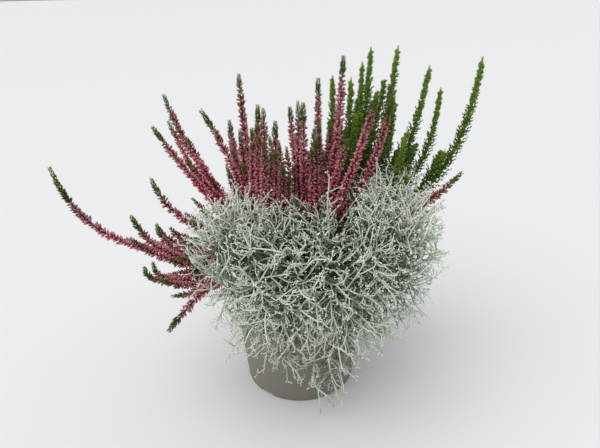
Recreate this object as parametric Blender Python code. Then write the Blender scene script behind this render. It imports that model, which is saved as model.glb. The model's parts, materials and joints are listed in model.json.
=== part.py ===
"""Potted heather: pink bud-blooming heather and green foliage heather stand behind a silver
cushion bush in one nursery pot. Metres, +Z up, +Y to the back; the origin is the middle of
the pot's underside."""

import math
import random

import bmesh
import bpy
import numpy as np

# Pot, a thin moulded nursery pot of 12 cm
RIM_RADIUS = 0.0610
RIM_HEIGHT = 0.1080
RIM_BAND = 0.0125
BAND_STEP = 0.0032
BAND_SLOPE = 0.0019
BAND_DRAFT = 0.0006
FOOT_RADIUS = 0.0490
FOOT_RING = 0.0030
WALL = 0.0012
FLOOR_LIFT = 0.0030
PAD_RADIUS = 0.0180
POT_SIDES = 32
DRAIN_HOLES = 10
DRAIN_RADIUS = 0.0030
DRAIN_CIRCLE = 0.0330
DRAIN_SIDES = 6
FOOT_NOTCHES = 5
NOTCH_WIDTH = 0.0140
NOTCH_HEIGHT = 0.0024
FIRST_NOTCH = -128.0
SHARP_ANGLE = 30.0

# Potting soil, its lumps and the holes that the stems stand in
SOIL_LEVEL = 0.1010
SOIL_RINGS = 4
SOIL_SHOULDER = 0.0080
LUMP_HEIGHT = 0.0010
LUMP_WAVES = 260.0
CLEARANCE = 0.0003
HOLE_DEPTH = 0.0100
HOLE_PLAY = 0.00066
COLLAR = 0.0018

# Stems, and where they leave the soil
STEM_RADIUS = 0.0011
STEM_SECTION = 0.0220
FIRST_LEAN = 0.15
FIRST_RISE = 0.0180
CURVE_POINTS = 161
FOOT_START = 0.0050
FOOT_SPREAD = 0.17
FOOT_GAP = 0.0044
FOOT_LIMIT = 0.0500
FOOT_ROUNDS = 200
TALLEST = 0.2000

# Buds, leaves and green tips round the stems. The relief waves vary a ring's corners by ring,
# by corner and by height.
FIRST_RING = 0.0030
RELIEF_SPREAD = 0.16
RELIEF_WAVES = (5.1, 2.3, 40.0)
PINK_BARE = 0.34
BUD_RADIUS = 0.0051
BUD_PITCH = 0.0049
BUD_CORE = 0.0014
BUD_SLIM = 0.78
BUD_SWELL = 0.30
SWELL_START = 0.12
SWELL_SKEW = 0.8
GREEN_BARE = 0.238
LEAF_RADIUS = 0.0052
LEAF_PITCH = 0.0060
LEAF_CORE = 0.0017
LEAF_SWEEP = 0.0040
LEAF_SLIM_LOW = 0.72
LEAF_SLIM_TOP = 0.22
LEAF_SLIM_CORE = 0.45
TIP_PITCH = 0.0036
TIP_RADIUS = 0.0027
TIP_CORE = 0.55
TIP_TAPER = 0.55
TIP_SWEEP = 0.0011
TIP_ROOT = 0.00112
CROWNS = {"left": (-0.025, 0.007), "middle": (0.006, 0.004), "right": (0.034, 0.018)}

# One row a spray: the crown it springs from, its bearing in degrees, how far its tip reaches
# from the crown, how high the tip stands above the soil, how early it leans out (a share of
# the reach), how high the bend lifts it, and the length of its green tip where that is a
# piece of its own.
PINK_SPRAYS = (
    ("left", -164, 0.159, 0.112, 0.88, 0.010, 0.030),
    ("left", 166, 0.097, 0.124, 0.56, 0.065, 0.014),
    ("left", 147, 0.108, 0.144, 0.69, 0.064, 0.0),
    ("left", -164, 0.090, 0.095, 0.88, 0.047, 0.014),
    ("left", -149, 0.111, 0.078, 0.83, 0.017, 0.012),
    ("left", -179, 0.095, 0.046, 0.93, 0.016, 0.010),
    ("left", 176, 0.049, 0.141, 0.34, 0.097, 0.016),
    ("left", 117, 0.080, 0.117, 0.78, 0.049, 0.012),
    ("left", 122, 0.039, 0.164, 0.78, 0.049, 0.0),
    ("left", -167, 0.004, 0.145, 0.78, 0.103, 0.014),
    ("left", -57, 0.018, 0.135, 0.69, 0.050, 0.012),
    ("middle", 101, 0.057, 0.132, 0.37, 0.060, 0.012),
    ("middle", 88, 0.006, 0.145, 0.66, 0.051, 0.014),
    ("middle", 74, 0.050, 0.157, 1.00, 0.030, 0.012),
    ("middle", 18, 0.033, 0.179, 0.83, 0.048, 0.014),
    ("middle", -24, 0.059, 0.158, 0.52, 0.056, 0.014),
    ("middle", -5, 0.069, 0.156, 0.77, 0.059, 0.020),
    ("middle", -18, 0.122, 0.101, 0.64, 0.048, 0.0),
    ("left", -124, 0.120, 0.008, 0.49, 0.031, 0.012),
    ("left", -140, 0.113, 0.044, 1.00, 0.014, 0.012),
    ("left", 138, 0.100, 0.064, 0.75, 0.045, 0.0),
    ("middle", 110, 0.092, 0.098, 0.75, 0.040, 0.0),
    ("middle", 86, 0.096, 0.080, 0.70, 0.045, 0.0),
)
GREEN_SPRAYS = (
    ("right", 90, 0.066, 0.156, 0.65, 0.050, 0.0),
    ("right", 42, 0.015, 0.162, 0.90, 0.050, 0.0),
    ("right", 68, 0.071, 0.167, 1.00, 0.040, 0.0),
    ("right", 54, 0.052, 0.182, 0.84, 0.048, 0.0),
    ("right", 18, 0.051, 0.185, 0.64, 0.045, 0.0),
    ("right", 42, 0.071, 0.119, 1.00, 0.033, 0.0),
    ("right", 23, 0.086, 0.167, 0.80, 0.041, 0.0),
    ("right", -23, 0.056, 0.125, 0.79, 0.042, 0.0),
    ("right", 30, 0.111, 0.145, 0.96, 0.029, 0.0),
    ("right", -3, 0.109, 0.178, 0.93, 0.032, 0.0),
    ("right", 80, 0.096, 0.092, 0.75, 0.040, 0.0),
    ("right", 58, 0.102, 0.080, 0.75, 0.052, 0.0),
)

# Silver cushion bush. One row a branch: the foot of its stem on the soil, the middle and the
# half sizes of its dense heart, how many twigs spread from it, how many hang over the rim, and
# the steps of a hanging twig.
TWIG_RADIUS = 0.0010
TWIG_STEP = 0.0105
TWIG_STEPS = 4
TWIG_ZIGZAG = 26.0
TWIG_FORK = 54.0
FORKS = 3
STEP_SPREAD = (0.85, 1.2)
FORK_SPREAD = (0.7, 1.1)
TWIG_TRIES = 16
FORK_TRIES = 6
TWIG_CLEARANCE = 0.0004
TWIG_SAMPLES = 6
JOINT = 0.0012
LOWEST_TWIG = 0.0080
RIM_MARGIN = 0.0020
INNER_MARGIN = 0.0080
LIFT = 0.10
HANG = -0.26
HANG_HEIGHT = -0.30
HANG_FAN = 0.5
SPREAD_DEPTH = 1.45
ROOT_DEPTH = 0.85
BRANCH_RADIUS = 0.0016
BRANCH_BEND = 0.0060
BRANCH_BOW = 0.0040
HEART_SIDES = 10
HEART_RINGS = 5
HEART_VALLEY = 0.72
HEART_PEAK = 1.25
HEART_MARGIN = 1.45
BEAD_STEP = 0.0020
STEM_BEADS = 8
BARE_BEADS = 0.22
SILVER_SEED = 11
SILVER_BRANCHES = (
    ((-0.026, -0.032), (-0.043, -0.049, 0.129), (0.013, 0.012, 0.011), 15, 3, 4),
    ((-0.010, -0.038), (-0.010, -0.059, 0.127), (0.013, 0.012, 0.011), 12, 4, 5),
    ((0.010, -0.040), (0.024, -0.061, 0.127), (0.013, 0.012, 0.011), 12, 5, 7),
    ((0.028, -0.030), (0.058, -0.043, 0.131), (0.013, 0.013, 0.012), 14, 3, 5),
    ((0.042, -0.010), (0.082, -0.004, 0.134), (0.012, 0.014, 0.012), 17, 3, 3),
    ((0.014, -0.022), (0.016, -0.027, 0.142), (0.020, 0.010, 0.010), 18, 0, 0),
)


def clear_scene():
    for item in list(bpy.data.objects):
        bpy.data.objects.remove(item)


def finish_material(name, colour, roughness):
    material = bpy.data.materials.new(name)
    material.use_nodes = True
    shader = material.node_tree.nodes["Principled BSDF"]
    shader.inputs["Base Color"].default_value = (*colour, 1.0)
    shader.inputs["Roughness"].default_value = roughness
    shader.inputs["Metallic"].default_value = 0.0
    return material


def object_from(bm, name, material=None):
    mesh = bpy.data.meshes.new(name)
    bm.to_mesh(mesh)
    bm.free()
    made = bpy.data.objects.new(name, mesh)
    bpy.context.scene.collection.objects.link(made)
    if material:
        mesh.materials.append(material)
    return made


def combine(base, others, operation, solver="EXACT"):
    """One Boolean on a collection, applied; the objects of the collection are removed."""
    group = bpy.data.collections.new(base.name + "_group")
    bpy.context.scene.collection.children.link(group)
    for other in others:
        bpy.context.scene.collection.objects.unlink(other)
        group.objects.link(other)
    change = base.modifiers.new("combine", "BOOLEAN")
    change.operation = operation
    change.operand_type = "COLLECTION"
    change.collection = group
    change.solver = solver
    graph = bpy.context.evaluated_depsgraph_get()
    result = bpy.data.meshes.new_from_object(base.evaluated_get(graph))
    base.modifiers.clear()
    base.data = result
    for other in others:
        bpy.data.objects.remove(other)
    bpy.data.collections.remove(group)


def turned(profile, sides):
    """A closed bmesh turned about Z from a profile that starts and ends on the axis."""
    bm = bmesh.new()
    rings = []
    for radius, height in profile:
        if radius == 0.0:
            rings.append([bm.verts.new((0.0, 0.0, height))])
            continue
        turns = (2.0 * math.pi * k / sides for k in range(sides))
        rings.append([bm.verts.new((radius * math.cos(a), radius * math.sin(a), height)) for a in turns])
    for low, high in zip(rings, rings[1:]):
        for k in range(sides):
            corners = [low[k % len(low)], low[(k + 1) % len(low)]]
            corners += [high[(k + 1) % len(high)], high[k % len(high)]]
            bm.faces.new(list(dict.fromkeys(corners)))
    bmesh.ops.recalc_face_normals(bm, faces=bm.faces)
    return bm


def prism(centre, radius, low, high, sides, turn=0.0):
    """A closed upright prism, used as a cutter."""
    bm = bmesh.new()
    corners = []
    for k in range(sides):
        angle = turn + 2.0 * math.pi * k / sides
        x = centre[0] + radius * math.cos(angle)
        y = centre[1] + radius * math.sin(angle)
        corners.append(bm.verts.new((x, y, low)))
    bottom = bm.faces.new(corners)
    top = bmesh.ops.extrude_face_region(bm, geom=[bottom])["geom"]
    raised = [v for v in top if isinstance(v, bmesh.types.BMVert)]
    bmesh.ops.translate(bm, vec=(0.0, 0.0, high - low), verts=raised)
    bmesh.ops.recalc_face_normals(bm, faces=bm.faces)
    return bm


def inner_radius(height):
    """The radius of the pot's inside below its rim band."""
    share = height / (RIM_HEIGHT - RIM_BAND)
    return FOOT_RADIUS - WALL + share * (RIM_RADIUS - BAND_STEP - FOOT_RADIUS)


def make_pot():
    band = RIM_HEIGHT - RIM_BAND
    floor = FLOOR_LIFT + WALL
    ring_inside = FOOT_RADIUS - FOOT_RING
    profile = [
        (0.0, 0.0),
        (PAD_RADIUS, 0.0),
        (PAD_RADIUS + FLOOR_LIFT, FLOOR_LIFT),
        (ring_inside - FLOOR_LIFT, FLOOR_LIFT),
        (ring_inside, 0.0),
        (FOOT_RADIUS, 0.0),
        (RIM_RADIUS - BAND_STEP, band - BAND_SLOPE),
        (RIM_RADIUS - BAND_DRAFT, band),
        (RIM_RADIUS, RIM_HEIGHT),
        (RIM_RADIUS - WALL, RIM_HEIGHT),
        (RIM_RADIUS - WALL - BAND_DRAFT, band + WALL),
        (inner_radius(band), band),
        (inner_radius(floor), floor),
        (PAD_RADIUS + FLOOR_LIFT, floor),
        (PAD_RADIUS, WALL),
        (0.0, WALL),
    ]
    plastic = finish_material("pot_plastic", (0.16, 0.135, 0.12), 0.55)
    pot = object_from(turned(profile, POT_SIDES), "pot", plastic)
    cutters = []
    for k in range(DRAIN_HOLES):
        angle = 2.0 * math.pi * (k + 0.5) / DRAIN_HOLES
        centre = (DRAIN_CIRCLE * math.cos(angle), DRAIN_CIRCLE * math.sin(angle))
        cutter = prism(centre, DRAIN_RADIUS, 0.5 * FLOOR_LIFT, floor + WALL, DRAIN_SIDES, angle)
        cutters.append(object_from(cutter, f"drain_cutter_{k}"))
    for k in range(FOOT_NOTCHES):
        angle = math.radians(FIRST_NOTCH + 360.0 * k / FOOT_NOTCHES)
        centre = (FOOT_RADIUS * math.cos(angle), FOOT_RADIUS * math.sin(angle))
        half = 0.5 * NOTCH_WIDTH * math.sqrt(2.0)
        cutter = prism(centre, half, -FLOOR_LIFT, NOTCH_HEIGHT, 4, angle + 0.25 * math.pi)
        cutters.append(object_from(cutter, f"notch_cutter_{k}"))
    combine(pot, cutters, "DIFFERENCE")
    pot.data.shade_smooth()
    pot.data.set_sharp_from_angle(angle=math.radians(SHARP_ANGLE))


class Spray:
    """One shoot: a curve from its foot in the soil to its tip, and frames along it."""

    def __init__(self, foot, tip, lean, lift):
        base = np.array([foot[0], foot[1], SOIL_LEVEL + COLLAR])
        run = np.array(tip) - base
        rise = max(FIRST_RISE, run[2] / 3.0)
        first = base + np.array([FIRST_LEAN * run[0], FIRST_LEAN * run[1], rise])
        second = base + np.array([lean * run[0], lean * run[1], lift])
        t = np.linspace(0.0, 1.0, CURVE_POINTS)[:, None]
        curve = (1 - t) ** 3 * base + 3 * t * (1 - t) ** 2 * first
        curve = curve + 3 * t * t * (1 - t) * second + t**3 * np.array(tip)
        self.sunk = HOLE_DEPTH + COLLAR - CLEARANCE
        self.points = np.vstack([base - np.array([0.0, 0.0, self.sunk]), curve])
        steps = np.linalg.norm(np.diff(self.points, axis=0), axis=1)
        self.along = np.concatenate([[0.0], np.cumsum(steps)]) - self.sunk
        self.length = self.along[-1]
        self.frames = self.carried_frames()

    def carried_frames(self):
        """The side directions at each point, carried along the curve without twist."""
        ahead = np.diff(self.points, axis=0)
        ahead = np.vstack([ahead, ahead[-1:]])
        ahead /= np.linalg.norm(ahead, axis=1)[:, None]
        side = np.array([1.0, 0.0, 0.0])
        frames = []
        for direction in ahead:
            side = side - direction * side.dot(direction)
            side /= np.linalg.norm(side)
            frames.append((side, np.cross(direction, side), direction))
        return np.array(frames)

    def at(self, distance):
        """The point on the curve and its three directions at a distance above the soil."""
        point = [np.interp(distance, self.along, self.points[:, axis]) for axis in range(3)]
        nearest = min(np.searchsorted(self.along, distance), len(self.along) - 1)
        return np.array(point), self.frames[nearest]

    def ring(self, distance, radii, sweep=0.0):
        """Points round the curve; those further out than the first are swept ahead."""
        centre, (side, up, ahead) = self.at(distance)
        inner = min(radii)
        points = []
        for k, radius in enumerate(radii):
            angle = 2.0 * math.pi * k / len(radii)
            out = radius * (math.cos(angle) * side + math.sin(angle) * up)
            points.append(centre + out + ahead * (sweep if radius > inner else 0.0))
        return points


def skin(rings):
    """A closed bmesh over rings of points. Each quad is split between its two low corners."""
    bm = bmesh.new()
    made = [[bm.verts.new(point) for point in ring] for ring in rings]
    for k, (low, high) in enumerate(zip(made, made[1:])):
        count = len(low)
        for j in range(count if count > 1 else len(high)):
            a, b = low[j % count], low[(j + 1) % count]
            if count == 1:
                bm.faces.new((a, high[(j + 1) % len(high)], high[j]))
            elif len(high) == 1:
                bm.faces.new((a, b, high[0]))
            elif len(high) == 2 * count:
                first, second, third = high[2 * j], high[2 * j + 1], high[(2 * j + 2) % (2 * count)]
                bm.faces.new((a, second, first))
                bm.faces.new((a, b, second))
                bm.faces.new((b, third, second))
            else:
                c, d = high[j], high[(j + 1) % count]
                if (j + k) % 2:
                    bm.faces.new((a, b, c))
                    bm.faces.new((b, d, c))
                else:
                    bm.faces.new((a, b, d))
                    bm.faces.new((a, d, c))
    if len(made[0]) > 1:
        bm.faces.new(list(reversed(made[0])))
    if len(made[-1]) > 1:
        bm.faces.new(made[-1])
    bmesh.ops.triangulate(bm, faces=[face for face in bm.faces if len(face.verts) > 3])
    return bm


def relief(order, place, sides, core, peak):
    """Radii of one ring: every other corner stands out, and the next ring takes the others."""
    by_ring, by_corner, by_place = RELIEF_WAVES
    radii = []
    for corner in range(sides):
        wave = math.sin(by_ring * order + by_corner * corner + by_place * place)
        radii.append(core if (order + corner) % 2 else peak * (1.0 + RELIEF_SPREAD * wave))
    return radii


def stem_rings(spray, bare):
    """The bare stem: three-sided rings from the bottom of its hole to the first buds."""
    count = max(2, round(bare / STEM_SECTION) + 1)
    distances = [-spray.sunk] + list(np.linspace(0.0, bare, count))
    return [spray.ring(distance, [STEM_RADIUS] * 3) for distance in distances]


def even_order(rings, order):
    """Keeps the diagonal of skin() in step with the relief, whatever the stem's ring count."""
    return (len(rings) + order) % 2


def pink_rings(spray, tip_length):
    """The bare stem and the bud relief; it ends flat where a green tip goes on from it."""
    bare = PINK_BARE * spray.length
    end = spray.length - (tip_length + CLEARANCE if tip_length else 0.0)
    rings = stem_rings(spray, bare)
    start = bare + FIRST_RING
    count = max(6, round((end - start) / BUD_PITCH))
    for k in range(count):
        share = k / (count - 1)
        distance = start + share * (end - start - (0.0 if tip_length else TIP_PITCH))
        if k == count - 1 and tip_length:
            rings.append(spray.ring(end, [TIP_ROOT] * 6))
            break
        swell = BUD_SLIM + BUD_SWELL * math.sin(math.pi * min(1.0, share + SWELL_START) ** SWELL_SKEW)
        order = even_order(rings, 1)
        rings.append(spray.ring(distance, relief(order, share, 6, BUD_CORE, BUD_RADIUS * swell)))
    if not tip_length:
        rings.append([spray.at(spray.length)[0]])
    return rings


def tip_rings(spray, tip_length):
    """The green shoot tip: small leaves in four rows round a slim cone."""
    start = spray.length - tip_length
    count = max(3, round(tip_length / TIP_PITCH))
    rings = [spray.ring(start, [TIP_ROOT] * 4)]
    for k in range(1, count):
        share = k / count
        order = even_order(rings, 1)
        peak = TIP_RADIUS * (1.0 - TIP_TAPER * share)
        radii = relief(order, share, 4, TIP_CORE * peak, peak)
        rings.append(spray.ring(start + share * tip_length, radii, TIP_SWEEP))
    rings.append([spray.at(spray.length)[0]])
    return rings


def green_rings(spray):
    """The bare stem and the leaf relief, slimmer at both ends."""
    bare = GREEN_BARE * spray.length
    rings = stem_rings(spray, bare)
    start = bare + FIRST_RING
    count = round((spray.length - start) / LEAF_PITCH)
    for k in range(count):
        share = k / count
        distance = start + share * (spray.length - start)
        slim = min(1.0, LEAF_SLIM_LOW + share, LEAF_SLIM_TOP + 2.6 * (1.0 - share))
        order = even_order(rings, 1)
        radii = relief(order, share, 6, LEAF_CORE * max(LEAF_SLIM_CORE, slim), LEAF_RADIUS * slim)
        rings.append(spray.ring(distance, radii, LEAF_SWEEP * slim))
    rings.append([spray.at(spray.length)[0]])
    return rings


def spray_feet(rows):
    """Where the sprays leave the soil: near their crown, pushed apart until each has room."""
    feet = []
    for crown, bearing, reach, rise, *_ in rows:
        turn = math.radians(bearing)
        out = FOOT_START + FOOT_SPREAD * reach * (1.0 - rise / TALLEST)
        feet.append(np.array(CROWNS[crown]) + out * np.array([math.cos(turn), math.sin(turn)]))
    feet = np.array(feet)
    for _ in range(FOOT_ROUNDS):
        for first in range(len(feet)):
            for second in range(first):
                apart = feet[first] - feet[second]
                distance = np.hypot(*apart)
                if distance < FOOT_GAP:
                    push = 0.5 * apart * (FOOT_GAP / distance - 1.0)
                    feet[first] += push
                    feet[second] -= push
        outside = np.hypot(feet[:, 0], feet[:, 1]) / FOOT_LIMIT
        feet /= np.maximum(outside, 1.0)[:, None]
    return feet


def make_sprays():
    """All pink and green sprays; returns their curves with the radius each one needs."""
    rows = PINK_SPRAYS + GREEN_SPRAYS
    florets = finish_material("pink_buds", (0.42, 0.07, 0.16), 0.7)
    leaves = finish_material("green_foliage", (0.06, 0.15, 0.03), 0.65)
    young = finish_material("young_tips", (0.16, 0.28, 0.06), 0.65)
    sprays = []
    for index, (row, foot) in enumerate(zip(rows, spray_feet(rows))):
        crown, bearing, reach, rise, lean, lift, tip_length = row
        turn = math.radians(bearing)
        tip = (
            CROWNS[crown][0] + reach * math.cos(turn),
            CROWNS[crown][1] + reach * math.sin(turn),
            SOIL_LEVEL + rise,
        )
        spray = Spray(foot, tip, lean, lift)
        if index < len(PINK_SPRAYS):
            name = f"pink_spray_{index + 1:02d}"
            object_from(skin(pink_rings(spray, tip_length)), name, florets)
            if tip_length:
                name = f"pink_tip_{index + 1:02d}"
                object_from(skin(tip_rings(spray, tip_length)), name, young)
        else:
            name = f"green_spray_{index + 1 - len(PINK_SPRAYS):02d}"
            object_from(skin(green_rings(spray)), name, leaves)
        sprays.append(spray)
    return sprays


def heart(centre, half):
    """The dense heart of a silver branch: a burr whose every other corner stands out."""
    centre, half = np.array(centre), np.array(half)
    rings = [[centre - HEART_VALLEY * half * (0.0, 0.0, 1.0)]]
    for k in range(HEART_RINGS):
        tilt = math.pi * (k + 1) / (HEART_RINGS + 1)
        radii = relief(even_order(rings, 1), tilt, HEART_SIDES, HEART_VALLEY, HEART_PEAK)
        ring = []
        for corner, radius in enumerate(radii):
            turn = 2.0 * math.pi * corner / HEART_SIDES
            out = (math.sin(tilt) * math.cos(turn), math.sin(tilt) * math.sin(turn), -math.cos(tilt))
            ring.append(centre + radius * half * out)
        rings.append(ring)
    rings.append([centre + HEART_VALLEY * half * (0.0, 0.0, 1.0)])
    return skin(rings)


def unit(vector):
    return vector / np.linalg.norm(vector)


def twig(points, forks, radius):
    """A closed three-sided twig that ends in a point. Its side twigs, listed by the joint that
    they leave, are drawn out of the twig's own faces."""
    ahead = [unit(b - a) for a, b in zip(points, points[1:])]
    places = [(points[0], ahead[0])]
    for joint in range(1, len(points) - 1):
        places.append((points[joint] - JOINT * ahead[joint - 1], ahead[joint - 1]))
        places.append((points[joint] + JOINT * ahead[joint], ahead[joint]))
    bm = bmesh.new()
    side = unit(np.cross(ahead[0], (0.31, 0.52, 0.80)))
    rings = []
    for centre, direction in places:
        side = unit(side - direction * side.dot(direction))
        up = np.cross(direction, side)
        turns = (2.0 * math.pi * j / 3 for j in range(3))
        rings.append([bm.verts.new(centre + radius * (math.cos(a) * side + math.sin(a) * up)) for a in turns])
    bm.faces.new(reversed(rings[0]))
    for k, (low, high) in enumerate(zip(rings, rings[1:])):
        free = [(low[j], low[(j + 1) % 3], high[(j + 1) % 3], high[j]) for j in range(3)]
        if k % 2:
            for tip in forks.get((k + 1) // 2, ()):
                facing = []
                for quad in free:
                    corners = np.array([corner.co for corner in quad])
                    normal = np.cross(corners[1] - corners[0], corners[3] - corners[0])
                    facing.append(unit(normal).dot(unit(tip - corners.mean(axis=0))))
                quad = free.pop(int(np.argmax(facing)))
                end = bm.verts.new(tip)
                for a, b in zip(quad, quad[1:] + quad[:1]):
                    bm.faces.new((a, b, end))
        for quad in free:
            bm.faces.new(quad)
    last = bm.verts.new(points[-1])
    for j in range(3):
        bm.faces.new((rings[-1][j], rings[-1][(j + 1) % 3], last))
    bmesh.ops.triangulate(bm, faces=bm.faces)
    return bm


class Thicket:
    """What a new twig has to keep clear of: beads along all that stands, and the hearts."""

    def __init__(self, hearts):
        self.beads = np.empty((0, 3))
        self.radii = np.empty(0)
        self.hearts = hearts

    def add(self, points, radii):
        self.beads = np.vstack([self.beads, points])
        self.radii = np.append(self.radii, radii)

    def clear(self, start, end, own):
        """True where a straight twig from start to end touches nothing but its own heart."""
        samples = start + np.linspace(0.0, 1.0, TWIG_SAMPLES)[:, None] * (end - start)
        across = np.hypot(samples[:, 0], samples[:, 1])
        over_soil = samples[:, 2] > SOIL_LEVEL + LUMP_HEIGHT + RIM_MARGIN
        over_rim = samples[:, 2] > RIM_HEIGHT + RIM_MARGIN
        outside = across > RIM_RADIUS + RIM_MARGIN
        inside = across < RIM_RADIUS - INNER_MARGIN
        if not np.all(outside | over_rim | (inside & over_soil)) or samples[:, 2].min() < LOWEST_TWIG:
            return False
        for index, (centre, half) in enumerate(self.hearts):
            depth = np.linalg.norm((samples - centre) / (np.array(half) + TWIG_RADIUS), axis=1)
            if index != own and depth.min() < HEART_MARGIN:
                return False
        gaps = np.linalg.norm(samples[:, None] - self.beads[None], axis=2) - self.radii
        return gaps.min() > TWIG_RADIUS + TWIG_CLEARANCE


def turned_by(direction, angle, draw):
    """The direction bent by an angle towards a random side."""
    side = unit(np.cross(direction, [draw.uniform(-1, 1) for _ in range(3)]))
    angle = math.radians(angle)
    return math.cos(angle) * direction + math.sin(angle) * side


def grow(thicket, draw, own, start, direction, steps, sink):
    """One zigzag twig; each step is drawn again until it clears everything, or growth ends."""
    points = [start]
    for _ in range(steps):
        for _ in range(TWIG_TRIES):
            bent = turned_by(direction, draw.uniform(0.5, 1.0) * TWIG_ZIGZAG, draw)
            bent = unit(bent + np.array([0.0, 0.0, sink]))
            end = points[-1] + TWIG_STEP * draw.uniform(*STEP_SPREAD) * bent
            if thicket.clear(points[-1] + 0.3 * (end - points[-1]), end, own):
                break
        else:
            break
        points.append(end)
        direction = bent
    return points


def silver_twigs(thicket, draw, own, spread, hanging, hanging_steps):
    """The twigs of one branch: spreading ones all round its heart, hanging ones off its front.
    Each is its line and its forks, a list of side tips for each joint."""
    centre, half = thicket.hearts[own]
    golden = math.pi * (3.0 - math.sqrt(5.0))
    twigs = []
    for k in range(spread + hanging):
        hangs = k >= spread
        height = HANG_HEIGHT if hangs else 1.0 - SPREAD_DEPTH * (k + 0.5) / spread
        fan = HANG_FAN * (k - spread - 0.5 * (hanging - 1))
        turn = fan - 0.5 * math.pi if hangs else golden * k
        across = math.sqrt(1.0 - height * height)
        outward = np.array([across * math.cos(turn), across * math.sin(turn), height])
        start = np.array(centre) + ROOT_DEPTH * HEART_VALLEY * np.array(half) * outward
        steps, sink = (hanging_steps, HANG) if hangs else (TWIG_STEPS, LIFT)
        line = grow(thicket, draw, own, start, outward, steps, sink)
        if len(line) < 3:
            continue
        forks = {}
        for joint in range(1, len(line) - 1):
            before = unit(line[joint] - line[joint - 1])
            for _ in range(FORKS):
                for _ in range(FORK_TRIES):
                    length = TWIG_STEP * draw.uniform(*FORK_SPREAD)
                    tip = line[joint] + length * turned_by(before, TWIG_FORK, draw)
                    if thicket.clear(line[joint] + 0.4 * (tip - line[joint]), tip, own):
                        forks.setdefault(joint, []).append(tip)
                        break
        runs = list(zip(line, line[1:]))
        runs += [(line[joint], tip) for joint, tips in forks.items() for tip in tips]
        for low, high in runs:
            beads = low + np.linspace(0.0, 1.0, TWIG_SAMPLES)[:, None] * (high - low)
            thicket.add(beads, [TWIG_RADIUS] * len(beads))
        twigs.append((line, forks))
    return twigs


def branch_stem(foot, centre):
    """The woody stem that carries a silver branch, from its hole in the soil to its heart."""
    base = np.array([foot[0], foot[1], SOIL_LEVEL - HOLE_DEPTH + CLEARANCE])
    bend = np.array([foot[0], foot[1], SOIL_LEVEL + BRANCH_BEND])
    middle = 0.5 * (bend + np.array(centre)) + np.array([0.0, 0.0, BRANCH_BOW])
    return [base, bend, middle, np.array(centre)]


def make_silver(sprays):
    silver = finish_material("silver_twigs", (0.52, 0.60, 0.50), 0.8)
    thicket = Thicket([row[1:3] for row in SILVER_BRANCHES])
    for spray in sprays:
        distances = np.arange(-2.0 * BEAD_STEP, spray.length, BEAD_STEP)
        points = np.array([spray.at(distance)[0] for distance in distances])
        leafy = distances > BARE_BEADS * spray.length
        thicket.add(points, np.where(leafy, 1.2 * LEAF_RADIUS, 1.5 * STEM_RADIUS))
    for foot, centre, *_ in SILVER_BRANCHES:
        for low, high in zip(branch_stem(foot, centre), branch_stem(foot, centre)[1:]):
            beads = low + np.linspace(0.0, 0.8, STEM_BEADS)[:, None] * (high - low)
            thicket.add(beads, [2.0 * TWIG_RADIUS] * STEM_BEADS)
    draw = random.Random(SILVER_SEED)
    for index, (foot, centre, half, *twigs) in enumerate(SILVER_BRANCHES):
        name = f"silver_branch_{index + 1}"
        base = object_from(heart(centre, half), name, silver)
        stem = twig(branch_stem(foot, centre), {}, BRANCH_RADIUS)
        parts = [object_from(stem, f"{name}_stem")]
        for k, (line, forks) in enumerate(silver_twigs(thicket, draw, index, *twigs)):
            parts.append(object_from(twig(line, forks, TWIG_RADIUS), f"{name}_twig_{k}"))
        combine(base, parts, "UNION", "MANIFOLD")


def make_soil(sprays):
    """Soil to just under the rim, lumpy on top, with a plain hole for every stem."""
    bottom = FLOOR_LIFT + WALL + CLEARANCE
    shoulder = SOIL_LEVEL - SOIL_SHOULDER
    edge = inner_radius(shoulder) - CLEARANCE
    profile = [
        (0.0, WALL + CLEARANCE),
        (PAD_RADIUS - CLEARANCE, WALL + CLEARANCE),
        (PAD_RADIUS - CLEARANCE + FLOOR_LIFT, bottom),
        (inner_radius(bottom) - CLEARANCE, bottom),
        (edge, shoulder),
    ]
    profile += [(edge * share, SOIL_LEVEL) for share in np.linspace(1.0, 0.0, SOIL_RINGS + 1)]
    bm = turned(profile, POT_SIDES)
    for vert in bm.verts:
        if vert.co.z == SOIL_LEVEL:
            x, y = LUMP_WAVES * vert.co.x, LUMP_WAVES * vert.co.y
            vert.co.z += LUMP_HEIGHT * math.sin(x + 0.6 * y) * math.sin(1.3 * y - 0.4 * x)
    bmesh.ops.triangulate(bm, faces=bm.faces)
    earth = finish_material("potting_soil", (0.045, 0.030, 0.020), 0.95)
    soil = object_from(bm, "soil", earth)
    cutters = []
    low, high = SOIL_LEVEL - HOLE_DEPTH, SOIL_LEVEL + HOLE_DEPTH
    for k, spray in enumerate(sprays):
        cutter = prism(spray.at(0.0)[0][:2], STEM_RADIUS + HOLE_PLAY, low, high, 3)
        cutters.append(object_from(cutter, f"hole_cutter_{k}"))
    for k, (foot, *_) in enumerate(SILVER_BRANCHES):
        cutter = prism(foot, BRANCH_RADIUS + HOLE_PLAY, low, high, 6)
        cutters.append(object_from(cutter, f"silver_hole_cutter_{k}"))
    combine(soil, cutters, "DIFFERENCE")


clear_scene()
make_pot()
shoots = make_sprays()
make_silver(shoots)
make_soil(shoots)
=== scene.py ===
"""Looks of the potted heather: pink bud heather and green foliage heather behind a silver
cushion bush in one nursery pot. Metres, +Z up, +Y to the back."""

import json
import math

import bmesh
import bpy
import numpy as np
from mathutils import Matrix, Vector
from mathutils.kdtree import KDTree

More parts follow.
